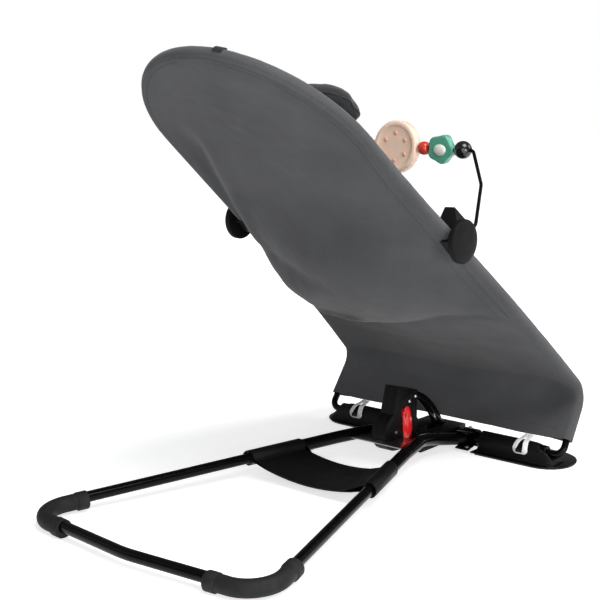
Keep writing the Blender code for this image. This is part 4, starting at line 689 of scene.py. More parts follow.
def make_tubes():
    middle = np.array([0.0, LEG_CORNER[1] + CROSSBAR_BOW, LEG_CORNER[2]])
    left = [leg_point(PLUG_Y), LEG_CORNER]
    path = rounded_path(left + [middle] + mirrored(left[::-1]), [CORNER_BEND, MIDDLE_BEND, CORNER_BEND], 20)
    outline = circle(REAR_TUBE_RADIUS, 32)
    tube = pipe("rear_tube", path, [outline] * len(path), circle(REAR_TUBE_RADIUS - TUBE_WALL, 32))
    for side, _ in SIDES:
        drilled(tube, side)
    dress(tube, ENAMEL, "rear_frame_tube")

    rim = 0.3 * MM
    for side, name in SIDES:
        bends = smooth_path((leg_point(FRONT_BEND_Y),) + FRONT_BENDS, 9)
        path = mirrored([leg_point(SOCKET_Y), leg_point(SOCKET_MIDDLE_Y)] + bends, side)
        outer = [circle(FRONT_TUBE_RADIUS - rim, 36)] + [circle(FRONT_TUBE_RADIUS, 36)] * len(path)
        path = [path[0], path[0] + unit(path[1] - path[0]) * rim] + path[1:]
        tube = pipe("front_tube_" + name + "_fine", path, outer, circle(REAR_TUBE_RADIUS + GAP, 36))
        drilled(tube, side)
        dress(tube, ENAMEL, "front_tube_" + name)
        make_sleeve(side, name, unit(middle - LEG_CORNER))


def make_sleeve(side, name, along_bar):
    """The rubber elbow on a rear corner: a thicker cuff at each end, and flat underneath."""
    along_leg = unit(leg_point(PLUG_Y) - LEG_CORNER)
    ends = [LEG_CORNER + along_leg * SLEEVE_REACH, LEG_CORNER, LEG_CORNER + along_bar * SLEEVE_REACH]
    bend = rounded_path(ends, [CORNER_BEND], 22)
    steps = (0.0, 0.8 * MM, SLEEVE_CUFF - 1.2 * MM, SLEEVE_CUFF, SLEEVE_CUFF + 1.0 * MM)
    first = [bend[0] - along_leg * d for d in steps]
    last = [bend[-1] - along_bar * d for d in steps[::-1]]
    path = first + bend[1:-1] + last
    facets = 40
    cuff_step = 1.2 * MM
    wide = circle(SLEEVE_RADIUS, facets, -SLEEVE_DROP)
    lip = circle(SLEEVE_RADIUS - 0.7 * MM, facets, -SLEEVE_DROP)
    slim = circle(SLEEVE_RADIUS - cuff_step, facets, -SLEEVE_DROP + 0.4 * MM)
    outer = [lip, wide, wide] + [slim] * (len(path) - 6) + [wide, wide, lip]
    bore = circle(REAR_TUBE_RADIUS + GAP, facets)
    sleeve = pipe("sleeve_" + name, mirrored(path, side), outer, bore, floor=0.0)
    dress(sleeve, SLEEVE, "corner_sleeve_" + name)


def make_rod():
    knee = knee_points(14)
    foot = rounded_path([AXLE + [0.6 * MM, 0, 0], FOOT_CORNER, knee[0]], [FOOT_BEND], 12)
    half = foot[:-1] + knee + [rail_point(s) for s in rail_stations(26, 26)]
    rod = bar("seat_rod", half + mirrored(half[:-1][::-1]), circle(ROD_RADIUS, 28), (0, -1, 0))
    dress(rod, ROD_ENAMEL, "seat_frame_rod")


# Cloth

def close_sheet(name, grid, uv, thickness, mid=None):
    """A thick sheet from a grid of middle points. With mid, the last row folds shut on the middle line."""
    grid = np.array(grid)
    rows, columns, _ = grid.shape
    du = np.gradient(grid, axis=1)
    dv = np.gradient(grid, axis=0)
    if mid is not None:
        dv[-1] = grid[-2][::-1] - grid[-2]
    normal = np.cross(du, dv)
    normal = normal / np.maximum(np.linalg.norm(normal, axis=2, keepdims=True), 1e-12)
    if mid is not None:
        normal[-1, mid] = normal[-2, mid]
        last = normal[-1].copy()
        for j in range(mid + 1):
            both = unit((last[j] + last[columns - 1 - j]) * [0, 1, 1])
            normal[-1, j] = both
            normal[-1, columns - 1 - j] = both
    verts = [p for k in (0.5, -0.5) for p in (grid + normal * thickness * k).reshape(-1, 3)]
    coordinates = list(np.array(uv).reshape(-1, 2)) * 2
    shift = rows * columns
    ids = np.arange(shift).reshape(rows, columns)
    if mid is not None:
        ids[-1, mid + 1:] = ids[-1, :columns - 1 - mid][::-1]
    faces = []
    quads = (ids[:-1, :-1], ids[:-1, 1:], ids[1:, 1:], ids[1:, :-1])
    for corners in zip(*(part.ravel().tolist() for part in quads)):
        if len(set(corners)) > 2:
            faces += [corners, tuple(shift + c for c in corners[::-1])]
    edge = ids[0].tolist() + ids[1:, -1].tolist() + ids[-2:0:-1, 0].tolist()
    if mid is None:
        edge[columns + rows - 1:columns + rows - 1] = ids[-1, -2::-1].tolist()
    for a, b in zip(edge, edge[1:] + edge[:1]):
        faces.append((a, b, shift + b, shift + a))
    return new_piece(name, verts, faces, SOFT_SHARP, coordinates, 0.0)


def sling_rows():
    """Each row of the sling: rod point, outward and lying-side normals, middle point, place on the seat."""
    leg_normal = np.array([0, -LEG_UP[2], LEG_UP[1]])
    knee = knee_points(12)
    start_share = (LOWER_HEM_Z - AXLE[2]) / (knee[0][2] - AXLE[2])
    low = FOOT_CORNER + (knee[0] - FOOT_CORNER) * start_share
    lower = [(low + (knee[0] - low) * i / 10, leg_normal) for i in range(10)]
    for i, point in enumerate(knee):
        mix = i / (len(knee) - 1)
        lower.append((point, unit((1 - mix) * leg_normal + mix * SEAT_NORMAL)))
    rows = [(point, np.array([1.0, 0, 0]), normal, point * [0, 1, 1] - normal * LOWER_DIP, 0.0)
            for point, normal in lower]
    stations = rail_stations(64, 30)
    points = [rail_point(s) for s in stations]
    previous = rows[-1][0]
    for i, (s, point) in enumerate(zip(stations, points)):
        tangent = unit(points[i + 1] - previous) if i + 1 < len(points) else np.array([-1.0, 0, 0])
        outward = unit(np.cross(tangent, SEAT_NORMAL))
        rows.append((point, outward, SEAT_NORMAL, seat_point(0.0, middle_s(s), -seat_sag(middle_s(s))), s))
        previous = point
    return rows


def make_sling():
    """The front cloth: its edge rolled round the rod, and its panel hung from the roll's rear side."""
    across = 30
    border = 8
    grid = []
    uv = []
    length = 0.0
    previous = None
    for point, outward, normal, middle, s in sling_rows():
        if previous is not None:
            length += np.linalg.norm(point - previous)
        previous = point
        start = point + ROLL_RADIUS * normal
        drop = (middle - start) @ normal
        merge = TUCK[0] + (TUCK[1] - TUCK[0]) * smoothstep(s, 0.25, 0.40)

        def panel_point(share):
            ease = 1 - (1 - share) ** PANEL_EASE
            tuck = 2 * ROLL_RADIUS * max(1 - share / merge, 0.0) ** 2
            return start + (middle - start) * share + normal * (drop * (ease - share) - tuck)

        # The tunnel's other layer is sewn to the panel in front.
        seam = panel_point(TUNNEL) + normal * 1.1 * SLING_SHEET
        strip = [seam + (start - seam) * i / 5 + normal * 1.2 * MM * sin(pi * i / 5) for i in range(5)]
        for i in range(13):
            angle = pi / 2 - pi * i / 12
            strip.append(point + ROLL_RADIUS * (cos(angle) * outward + sin(angle) * normal))
        first = len(strip)
        strip += [panel_point(i / across) for i in range(1, across + 1)]
        marks = distances(strip)
        ruffle = 0.9 * MM * max(0.0, 1 - length / 0.030)
        for j, p in enumerate(strip):
            edge = min(max((j - first) / border, 0.0), 1.0)
            wave = uneven(SLING_WAVE, p[0] * 0.35, p[1], p[2]) + uneven(SLING_RIPPLE, p[0] * 0.5, p[1], p[2])
            pull = uneven(SLING_PULL, length, p[0]) * (1 if j < first else 0.3)
            hem = ruffle * soft(p[0], 0, 0, 55, 4.4)
            strip[j] = p + normal * (wave * edge + pull + hem * edge)
        right = mirrored(strip[:-1])
        for j, p in enumerate(right):
            edge = min(max((j - first) / border, 0.0), 1.0) * min(abs(p[0]) / 0.03, 1.0)
            extra = 0.8 * MM * (soft(p[0], p[1], p[2], 30, 9.2) - soft(-p[0], p[1], p[2], 30, 9.2))
            extra += ruffle * (soft(p[0], 0, 0, 55, 6.4) - soft(-p[0], 0, 0, 55, 4.4))
            right[j] = p + normal * extra * edge
        grid.append(strip + right[::-1])
        uv.append([(m, length) for m in marks + [2 * marks[-1] - m for m in marks[:-1][::-1]]])
    sheet = close_sheet("sling", grid, uv, SLING_SHEET, mid=len(strip) - 1)
    dress(sheet, SEAT_CLOTH, "seat_sling")
    return grid, first


def cover_fullness(t, s):
    """How fast the rear cloth falls away behind each rail; t is -1 at the right rail and 1 at the left."""
    left = 3.6 - 2.2 * smoothstep(s, 0.26, 0.32)
    right = 1.9 - 0.3 * smoothstep(s, 0.26, 0.40)
    return right + (left - right) * smoothstep(t, -0.3, 0.3)


def cover_inset(side, s):
    """Where the rear cloth leaves the rolled edge: its distance inward from the rod's middle."""
    if side > 0:
        return -4.2 * MM + 1.6 * MM * smoothstep(s, 0.26, 0.36)
    inset = 12.0 * MM - 10.5 * MM * smoothstep(s, 0.27, 0.37)
    return inset - 4.2 * MM * smoothstep(s, 0.44, 0.54)


def cover_folds(x, t, s):
    """Drag folds, the long soft fold that runs from the head to the far clip, and the limp hem."""
    share = 1 - abs(t)
    hold = min(share / 0.16, 1.0)
    fan = uneven(COVER_FAN, x * 2.0 + s * 1.1, 0.25 * s)
    drag = 1.1 * MM * sin(34 * (s + 0.55 * abs(x)) + 2.5 * soft(x, s, 0, 9, 2.0)) * (1 - share) * share * 4
    fine = uneven(COVER_RIPPLE, x, s)
    top_x, foot_x, top_s, foot_s = FOLD_LINE
    away = x - (foot_x + (top_x - foot_x) * smoothstep(s, foot_s, top_s))
    length = smoothstep(s, top_s + 0.03, top_s - 0.07) * smoothstep(s, foot_s - 0.05, foot_s + 0.03)
    hollow = -6.5 * MM * np.exp(-(away / 0.013) ** 2)
    ridge = 5.5 * MM * np.exp(-((away - 0.027) / 0.017) ** 2)
    low = max(0.0, 1 - (s - COVER_HEM_S) / 0.035)
    limp = uneven(COVER_LIMP, x, 0) + uneven(COVER_LIMP_RIPPLE, x, s)
    limp *= low * smoothstep(share, 0.0, 0.2) * (1 + 1.3 * smoothstep(t, 0.0, 0.4))
    place = (s - COVER_HEM_S - 0.012 - 0.010 * sin(30 * x)) / 0.006
    crumple = -5.0 * MM * np.exp(-place ** 2) * smoothstep(t, 0.05, 0.30) * smoothstep(t, 0.85, 0.6)
    return (fan + drag + fine) * hold * (1 - 0.5 * low) + length * (hollow + ridge) * hold + limp + crumple


def cover_point(nominal, side, j, across, top):
    """A point of the rear cloth: j counts inward from the sewn edge, whose first two points are turned in."""
    reach = ROLL_RADIUS + (SLING_SHEET + COVER_SHEET) / 2 + 0.3 * MM
    step = 0.002
    share = max(j - 2, 0) / across
    t = side * (1 - share)
    low = max(0.0, 1 - (nominal - COVER_HEM_S) / 0.12)
    s = nominal
    if nominal < SPLIT_S:
        s += (np.interp(t, *zip(*HEM_LINE)) - COVER_HEM_S) * low
    s += low ** 3 * uneven(COVER_HEM_WAVE, t * 0.16, 0) * smoothstep(t, -0.1, 0.3)
    tangent = np.array([-side, 0.0, 0])
    if not top:
        tangent = unit(rail_point(min(s + step, SEAT_LENGTH), side) - rail_point(s - step, side))
    outward = unit(np.cross(tangent, SEAT_NORMAL)) * side
    inset = cover_inset(side, s)
    behind = sqrt(reach ** 2 - min(inset, 0.0) ** 2)
    if j < 2:
        outer, deeper = COVER_TURN_IN[j]
        inset -= outer
        behind = sqrt(max((reach - deeper) ** 2 - min(inset, 0.0) ** 2, MM ** 2))
    start = rail_point(s, side) - outward * inset - SEAT_NORMAL * behind
    if j < 2:
        return start
    droop = 0.008 * np.exp(-((s - COVER_HEM_S) / 0.05) ** 2) * smoothstep(t, -0.7, 0.3)
    middle = seat_point(0.0, middle_s(s), -cover_depth(middle_s(s)) - droop)
    ease = 1 - (1 - share) ** cover_fullness(t, s)
    drop = (middle - start) @ SEAT_NORMAL
    p = start + (middle - start) * share + SEAT_NORMAL * drop * (ease - share)
    along = (p - KNEE * [0, 1, 1]) @ SEAT_UP
    return p + SEAT_NORMAL * cover_folds(p[0], t, along)


def make_rear_cover():
    """The loose rear cloth: it leaves the rolled edge, hangs in a belly and ends in a limp hem."""
    across = 44
    stations = [COVER_HEM_S + (SPLIT_S - COVER_HEM_S) * (i / 64) for i in range(65)] + bow_stations(24)
    grid = []
    uv = []
    length = 0.0
    for i, nominal in enumerate(stations):
        if i:
            length += nominal - stations[i - 1]
        top = i + 1 == len(stations)
        left, right = [[cover_point(nominal, side, j, across, top) for j in range(across + 3)]
                       for side, _ in SIDES]
        grid.append(left + right[:-1][::-1])
        uv.append([(p[0], length) for p in grid[-1]])
    sheet = close_sheet("rear_cloth", grid, uv, COVER_SHEET, mid=across + 2)
    dress(sheet, REAR_CLOTH, "rear_cover")
    widest = max(distances(row)[-1] for row in grid)
    return grid


def ring(centre, radius, side, above, count):
    return [centre + radius * (cos(a) * side + sin(a) * above) for a in turns(count)]


def stitches(name, path, up, pitch=3.2 * MM, length=2.3 * MM, radius=0.24 * MM, lift=0.22 * MM):
    """A row of short thread stitches along a line, each a small bent rod."""
    steps = distances(path)
    facets = 6
    bends = ((-0.5, -0.4), (-0.3, 0.7), (0.3, 0.7), (0.5, -0.4))
    verts = []
    faces = []
    here = 0.5 * pitch
    while here + length / 2 < steps[-1]:
        base = len(verts)
        for step, height in bends:
            distance = here + step * length
            k = min(max(int(np.searchsorted(steps, distance) - 1), 0), len(path) - 2)
            span = max(steps[k + 1] - steps[k], 1e-9)
            p = path[k] + (path[k + 1] - path[k]) * (distance - steps[k]) / span
            normal = unit(up[k])
            side = unit(np.cross(unit(path[k + 1] - path[k]), normal))
            verts += ring(p + normal * (lift * height), radius, side, normal, facets)
        faces += ring_faces(base, len(bends), facets) + end_faces(base, len(bends) * facets, facets)
        here += pitch
    trim(new_piece(name, verts, faces, 60, merge=0.0), THREAD, "seat")


def surface_path(grid, thickness, cells):
    """Points on one face of a sheet at the given (row, column) cells, and their outward normals.

    It is the back face, or with a negative thickness the front one.
    """
    grid = np.array(grid)
    field = np.cross(np.gradient(grid, axis=1), np.gradient(grid, axis=0))
    normals = [unit(field[cell]) for cell in cells]
    points = [grid[cell] + normal * thickness / 2 for cell, normal in zip(cells, normals)]
    return points, normals if thickness > 0 else [-normal for normal in normals]


def rolled_edge(name, line, radius, material, closed=False):
    """A thin round of cloth along an edge: piping, a binding or a rolled hem."""
    line = np.array(line)
    count = len(line)
    facets = 10
    verts = []
    for j, here in enumerate(line):
        after = line[(j + 1) % count] if closed else line[min(j + 1, count - 1)]
        before = line[j - 1] if closed or j else line[0]
        tangent = unit(after - before)
        side = unit(np.cross(tangent, SEAT_NORMAL))
        verts += ring(here, radius, side, np.cross(side, tangent), facets)
    faces = ring_faces(0, count, facets, closed)
    if not closed:
        faces += end_faces(0, len(verts), facets)
    trim(new_piece(name, verts, faces, SOFT_SHARP), material, "seat")


def sew(sling_grid, panel, rear_grid):
    """The stitch lines: both lower hems, the tunnel seams and the rear cloth's edges."""
    columns = len(sling_grid[0])
    cells = [(3, j) for j in range(panel + 1, columns - panel - 1)]
    stitches("sling_hem_back", *surface_path(sling_grid, SLING_SHEET, cells))
    stitches("sling_hem_front", *surface_path(sling_grid, -SLING_SHEET, cells))
    for tag, column in (("left", 1), ("right", columns - 2)):
        cells = [(i, column) for i in range(2, len(sling_grid) - 14)]
        stitches("tunnel_seam_" + tag, *surface_path(sling_grid, SLING_SHEET, cells))
    lower = [sling_grid[0][j] for j in range(panel, columns - panel)]
    rolled_edge("sling_lower_edge", lower, 1.2 * MM, SEAT_CLOTH)
    columns = len(rear_grid[0])
    cells = [(1, j) for j in range(4, columns - 4)]
    stitches("cover_hem", *surface_path(rear_grid, COVER_SHEET, cells))
    for tag, column in (("left", 4), ("right", columns - 5)):
        cells = [(i, column) for i in range(1, len(rear_grid) - 2)]
        stitches("cover_seam_" + tag, *surface_path(rear_grid, COVER_SHEET, cells))
    rolled_edge("cover_lower_edge", rear_grid[0][3:-3], 1.3 * MM, REAR_CLOTH)


def make_pillow():
    """The head pillow: a simulated stuffed cushion lying across the seat, with a corded seam."""
    length, width, height = PILLOW_SIZE
    slim = PILLOW_SLIMMER * width
    rings = 16
    count = 64
    clear = CLOTH_THICKNESS / 2 + 0.35 * MM + height / 2

    def lying(x, up, level):
        bed = sling_lift(min(abs(x), half_width(PILLOW_S)), PILLOW_S)
        return seat_point(x, PILLOW_S + up, bed + clear + height / 2 * level)

    def form(x, up, level):
        return lying(x, up + PILLOW_DROP, level * PILLOW_PLUMPER + PILLOW_LIFT)

    verts = [form(0.0, 0.0, -1)]
    for k in range(1, 2 * rings):
        tilt = (-1 + k / rings) * pi / 2
        for angle in turns(count):
            waist = 1 - 0.035 * (1 - abs(sin(2 * angle)))
            reach = squarish(angle, 4) * cos(tilt) ** 0.36 * waist * PILLOW_SHORTER / 2
            verts.append(form(length * reach * cos(angle), slim * reach * sin(angle), sin(tilt)))
    verts.append(form(0.0, 0.0, 1))
    faces = ring_faces(1, 2 * rings - 1, count)
    last = 1 + (2 * rings - 2) * count
    for j in range(count):
        k = (j + 1) % count
        faces.append((0, 1 + k, 1 + j))
        faces.append((len(verts) - 1, last + j, last + k))
    pillow = new_piece("pillow", verts, faces, 0)
    puff(pillow, 4.5 * MM, 4.0 * MM)
    centre = form(0.0, 0.0, 0.0) + SHIFT
    mesh = pillow.data
    sectors = 72
    rim = [[] for _ in range(sectors)]
    for v in mesh.vertices:
        p = np.array(v.co) - centre
        along, up = p[0], p @ SEAT_UP
        edge = abs(along) / (length / 2)
        crease = uneven(PILLOW_CREASE, along, up) + uneven(PILLOW_RIPPLE, along, up, p[1])
        gather = 1.0 * MM * sin(up * 300 + 4 * soft(along, up, 0, 30, 1.0)) * smoothstep(edge, 0.70, 0.95)
        bed = lying(along, up, -0.62) + SHIFT
        share = smoothstep((np.array(v.co) - bed) @ SEAT_NORMAL, 0.0, 0.006)
        v.co = v.co + Vector(SEAT_NORMAL * (crease + gather) * share)
        middle = abs((np.array(v.co) - SHIFT - lying(along, up, 0.0)) @ SEAT_NORMAL)
        if middle < 0.3 * height:
            sector = int((atan2(up / slim, along / length) + pi) / (2 * pi) * sectors) % sectors
            rim[sector].append((hypot(up / slim, along / length), tuple(v.co)))
    mesh.shade_smooth()
    dress(pillow, PILLOW_CLOTH, "head_pillow")
    seam = np.array([max(group)[1] for group in rim if group]) - SHIFT
    for _ in range(2):
        seam = 0.25 * np.roll(seam, 1, axis=0) + 0.5 * seam + 0.25 * np.roll(seam, -1, axis=0)
    rolled_edge("pillow_piping", seam, 1.4 * MM, PILLOW_CLOTH, True)


def puff(obj, voxel, most):
    """Remeshes a closed form, lets air pressure swell it as cloth, caps the swelling and smooths it."""
    modified(obj, "even", "REMESH", mode="VOXEL", voxel_size=voxel)
    settle(obj)
    rest = np.array([v.co for v in obj.data.vertices])
    frames = 20
    modifier = modified(obj, "stuffing", "CLOTH")
    settings = modifier.settings
    for key, value in (("use_pressure", True), ("uniform_pressure_force", 4.0), ("tension_stiffness", 12),
                       ("compression_stiffness", 12), ("bending_stiffness", 0.4), ("mass", 0.25)):
        setattr(settings, key, value)
    settings.effector_weights.gravity = 0.0
    modifier.point_cache.frame_start = 1
    modifier.point_cache.frame_end = frames
    scene = bpy.context.scene
    for number in range(1, frames + 1):
        scene.frame_set(number)
    graph = bpy.context.evaluated_depsgraph_get()
    swelling = np.array([v.co for v in obj.evaluated_get(graph).to_mesh().vertices]) - rest
    length = np.linalg.norm(swelling, axis=1, keepdims=True)
    swelling *= np.minimum(1.0, most / np.maximum(length, 1e-9))
    obj.modifiers.clear()
    scene.frame_set(1)
    for v, p in zip(obj.data.vertices, rest + swelling):
        v.co = p
    modified(obj, "smooth", "SUBSURF", levels=1, render_levels=1)
    settle(obj)


def make_restraint():
    """The padded flap between the child's legs, with a bound edge and quilted lines."""
    rows = []
    uv = []
    count = 60
    half = 16
    for i in range(count):
        s = FLAP_START + FLAP_LENGTH * i / (count - 1)
        wide = 0.030 + 0.040 / (1 + np.exp(-(s - 0.185) / 0.018))
        wide *= 0.90 + 0.10 * min(sqrt(min(i, count - 1 - i) / 5), 1.0)
        line = [(-wide * j / half, s) for j in range(-half, half + 1)]
        row = []
        for j, (x, _) in enumerate(line):
            edge = min(1.0, (half - abs(j - half)) / 4)
            quilt = 0.7 * MM * abs(sin(pi * (s - FLAP_START) / 0.035)) * edge
            lift = sling_lift(x, s) + CLOTH_THICKNESS / 2 + 2.4 * MM
            row.append(seat_point(x, s, lift + quilt + uneven(FLAP_RIPPLE, x, s)))
        rows.append(row)
        uv.append(line)
    flap = close_sheet("restraint", rows, uv, 2.6 * MM)
    dress(flap, SEAT_CLOTH, "restraint_flap")
    edge = rows[0][::-1] + [row[0] for row in rows[1:-1]] + rows[-1] + [row[-1] for row in rows[-2:0:-1]]
    rolled_edge("restraint_binding", edge, 1.9 * MM, REAR_CLOTH, True)


def make_tab():
    """The woven tape tab, seated on the rolled edge at the head."""
    low, high = SPLIT_S, SEAT_LENGTH
    for _ in range(40):
        s = (low + high) / 2
        low, high = (s, high) if half_width(s) > TAB_X else (low, s)
    step = 0.5 * MM
    along = unit(rail_point(s + step, -1) - rail_point(s - step, -1))
    outward = unit(np.cross(SEAT_NORMAL, along))
    rise = ROLL_RADIUS + SLING_SHEET / 2 + GAP + TAB_THICKNESS / 2
    base = rail_point(s, -1) + outward * rise
    path = []
    for i in range(14):
        turn = radians(-2 + TAB_ARC * i / 13)
        path.append(base + (outward * (cos(turn) - 1) + SEAT_NORMAL * sin(turn)) * rise)
    half_w, half_t = TAB_HALF_WIDTH, TAB_THICKNESS / 2
    corners = [(-half_w, -half_t), (half_w, -half_t), (half_w, half_t), (-half_w, half_t)]
    outline = []
    for (a, b), (c, d) in zip(corners, corners[1:] + corners[:1]):
        outline += [(a + (c - a) * i / 6, b + (d - b) * i / 6) for i in range(6)]
    uv = [(a, 0.001 * i) for i in range(len(path)) for a, _ in outline]
    tab = bar("tab", path, outline, outward, uv)
    dress(tab, TAPE, "head_tab")


def make_elastic(side, name):
    """A loop of elastic from the sling's lower hem round the cover's hook."""
    hem = AXLE + LEG_UP * (LOWER_HEM_Z - AXLE[2]) / LEG_UP[2]
    catch = np.array([side * ELASTIC_X, AXLE[1] + COVER_RADIUS + 1.95 * MM,
                      HOOK_Z - HOOK_THICKNESS / 2 - GAP - ELASTIC_WIDTH / 2])
    over = COVER_RADIUS + 1.6 * MM
    drop = [(3.1 * MM, hem[1] + 0.0010, hem[2] - 0.0018)]
    for spread, angle in ((4.2 * MM, 94), (5.4 * MM, 62), (6.6 * MM, 36)):
        drop.append((spread, AXLE[1] + over * cos(radians(angle)), AXLE[2] + over * sin(radians(angle))))
    drop = smooth_path(drop + [(7.5 * MM, catch[1], catch[2] + 0.005)], 7)
    offset = np.array([side * ELASTIC_X, 0, 0])
    down = [offset + p for p in mirrored(drop)]
    up = [offset + p for p in drop[::-1]]
    turn = [catch - [7.7 * MM, 0, 0], catch + [7.7 * MM, 0, 0]]
    straight = [0] * (len(down) - 1)
    path = rounded_path(down + turn + up, straight + [2.75 * MM, 2.75 * MM] + straight, 8)
    half_t, half_w = ELASTIC_THICKNESS / 2, ELASTIC_WIDTH * 0.62
    outline = [(half_t * squarish(a, 5) * cos(a), half_w * squarish(a, 5) * sin(a)) for a in turns(24)]
    uv = [(b, run) for run in distances(path) for _, b in outline]
    loop = bar("elastic_" + name, path, outline, (1.0, 0, 0), uv)
    loop.data.materials.append(ELASTIC)
    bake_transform(loop)
    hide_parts("elastic_loop_" + name)


# Toy bar

def make_toys():
    centre = rail_point(CLIP_S)
    start = centre + [CAP_BACK + WIRE_INSET, 0, 0]
    heading = unit((WIRE_ELBOW - start) * [0, 1, 1])
    left = [start + heading * reach for reach in WIRE_LEAD]
    left += [WIRE_ELBOW, np.array([WIRE_CORNER_X, TOY_Y, TOY_Z])]
    path = rounded_path(left + mirrored(left[::-1]), WIRE_BENDS + WIRE_BENDS[::-1], 12)
    wire = bar("toy_bar_wire", path, circle(WIRE_RADIUS, 20), (0, -1, 0))
    dress(wire, WIRE_ENAMEL, "toy_wire")
    bore = WIRE_RADIUS + GAP
    for side, name in SIDES:
        profile = []
        for i in range(25):
            angle = pi * (0.07 + 0.86 * i / 24)
            profile.append((max(BALL_RADIUS * sin(angle), bore + 0.2 * MM), -BALL_RADIUS * cos(angle)))
        profile = [(bore, profile[0][1])] + profile + [(bore, profile[-1][1])]
        ball = turned("ball_" + name, profile, (side * BALL_X, TOY_Y, TOY_Z), (1, 0, 0), 48, True)
        dress(ball, TOY_BLACK, "toy_ball_" + name)
        low, high = sorted(side * x for x in BEAD_X)
        end_radius, rim, bulge = BEAD_FORM
        profile = [(bore, low), (end_radius, low)]
        for i in range(17):
            t = 0.03 + 0.94 * i / 16
            swell = sqrt(max(1 - ((t - 0.5) / 0.5) ** 2, 0.0))
            profile.append((rim + bulge * swell, low + (high - low) * t))
        profile += [(end_radius, high), (bore, high)]
        bead = turned("bead_" + name, profile, (0, TOY_Y, TOY_Z), (1, 0, 0), 40, True)
        dress(bead, TOY_RED, "toy_bead_" + name)
        make_cap(side, name, centre)
        make_leaf(side, name)
    make_disc()


def make_cap(side, name, centre):
    crown = 5.2 * MM
    edge = 1.3 * MM
    profile = [(0, CAP_SOCKET), (CAP_BORE, CAP_SOCKET), (CAP_BORE, 0), (CAP_RADIUS - edge, 0),
               (CAP_RADIUS - 0.4 * MM, 0.4 * MM), (CAP_RADIUS, edge)]
    for i in range(14):
        turn = i / 13 * pi / 2
        radius = CAP_RADIUS * cos(turn) ** 0.62 if i < 13 else 0.0
        profile.append((radius, CAP_DEPTH - crown + crown * sin(turn)))
    place = (side * (centre[0] + CAP_BACK), centre[1], centre[2])
    cap = turned("cap_" + name, profile, place, (side, 0, 0), 72)
    dress(cap, CAP_CHARCOAL, "toy_disc_cap_" + name)


def make_disc():
    """A plain two-colour disc: raised rim, dished face and a ring of small dots."""
    centre = np.array([0, TOY_Y, TOY_Z])
    normal = unit(np.array([0, 1.0, 0.12]))
    profile = [(0, -4.9 * MM), (0.015, -4.9 * MM), (0.0245, -5.1 * MM), (0.0256, -5.5 * MM),
               (0.0266, -6.4 * MM), (0.0278, -6.6 * MM), (0.0302, -6.6 * MM), (0.0316, -6.0 * MM),
               (0.0325, -4.6 * MM)]
    disc = turned("disc", profile + [(r, -a) for r, a in profile[::-1]], centre, normal, 96)
    dress(disc, PEACH, "toy_disc")
    side = np.array([1.0, 0, 0])
    other = unit(np.cross(normal, side))
    stud = [(0, 4.6 * MM), (2.6 * MM, 4.6 * MM), (2.6 * MM, 5.4 * MM), (2.1 * MM, 5.9 * MM),
            (1.1 * MM, 6.15 * MM), (0, 6.2 * MM)]
    for number in range(6):
        angle = pi / 6 + pi / 3 * number
        place = centre + STUD_RING * (cos(angle) * side + sin(angle) * other)
        for face, tag in ((1, "rear"), (-1, "front")):
            dot = turned(f"dot_{tag}_{number}", stud, place, normal * face, 24)
            trim(dot, PEACH_DARK, "toy_disc")


def make_leaf(side, name):
    """A wavy leaf with soft edges and a plain oval button on its face."""
    middle = side * LEAF_X
    profile = [(0.0, 5.0 * MM), (0.5, 5.2 * MM), (0.86, 5.6 * MM), (0.95, 5.3 * MM), (0.99, 4.4 * MM),
               (1.0, 3.2 * MM)]
    profile += [(r, -y) for r, y in profile[::-1]]
    angles = turns(96)

    def place(r, depth, j):
        wave = 1 + 0.07 * cos(5 * angles[j] + 0.6)
        return (middle + side * LEAF_SIZE[0] * wave * cos(angles[j]) * r, TOY_Y + depth,
                TOY_Z + LEAF_SIZE[1] * wave * sin(angles[j]) * r)

    leaf = lathed("leaf_" + name, profile, place, len(angles), sharp=SOFT_SHARP)
    dress(leaf, GREEN, "toy_leaf_" + name)
    oval = []
    rings = 10
    facets = 40
    for i in range(rings):
        t = i / (rings - 1)
        r = cos(t * pi / 2 * 0.97) ** 0.8
        depth = 4.6 * MM + 3.7 * MM * sin(t * pi / 2)
        oval += [(middle + OVAL_SIZE[0] * r * cos(a), TOY_Y + depth,
                  TOY_Z - 0.001 + OVAL_SIZE[1] * r * sin(a)) for a in turns(facets)]
    faces = ring_faces(0, rings, facets) + end_faces(0, len(oval), facets)
    button = new_piece("oval_" + name, oval, faces, SOFT_SHARP)
    dress(button, WHITE, "toy_oval_" + name)


# Other hard pieces

def dress_rest():
    """The hard pieces that keep the shape of their solid, first the single ones and then the pairs."""
    looks = {"leg_spreader": CHARCOAL, "cross_plate": PLATE_METAL, "foot_crossbar": ENAMEL,
             "axle_housing": CHARCOAL, "lever_pin": ZINC, "lever_spring": ZINC, "hub_screw_front": ZINC,
             "hub_screw_rear": ZINC, "release_lever": RED, "crank_arm": ENAMEL, "crank_pin": ZINC}
    pairs = {"snap_button": ZINC, "snap_spring": ZINC, "axle_bush": CHARCOAL, "foot_pad": SLEEVE,
             "wing_plate": ENAMEL, "wing_cover": CHARCOAL, "tube_clamp": ENAMEL, "clamp_rivet_top": ZINC,
             "clamp_rivet_rear": ZINC, "hub_shell": CHARCOAL, "toy_clip": CHARCOAL}
    looks.update({f"{stem}_{name}": material for _, name in SIDES for stem, material in pairs.items()})
    plain = ("snap_spring", "lever_spring", "foot_pad")
    for node, material in looks.items():
        piece = refined(node, material, 0 if node.startswith(plain) else 0.45 * MM)
        if node.startswith("snap_spring"):
            # In the real part the spring is pressed up against the tube's roof as the button goes in; here it
            # only gets a mesh of its own and is not pressed.
            low, high = (np.array(corner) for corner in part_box(node))
            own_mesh(piece)


# Stage, lights and camera

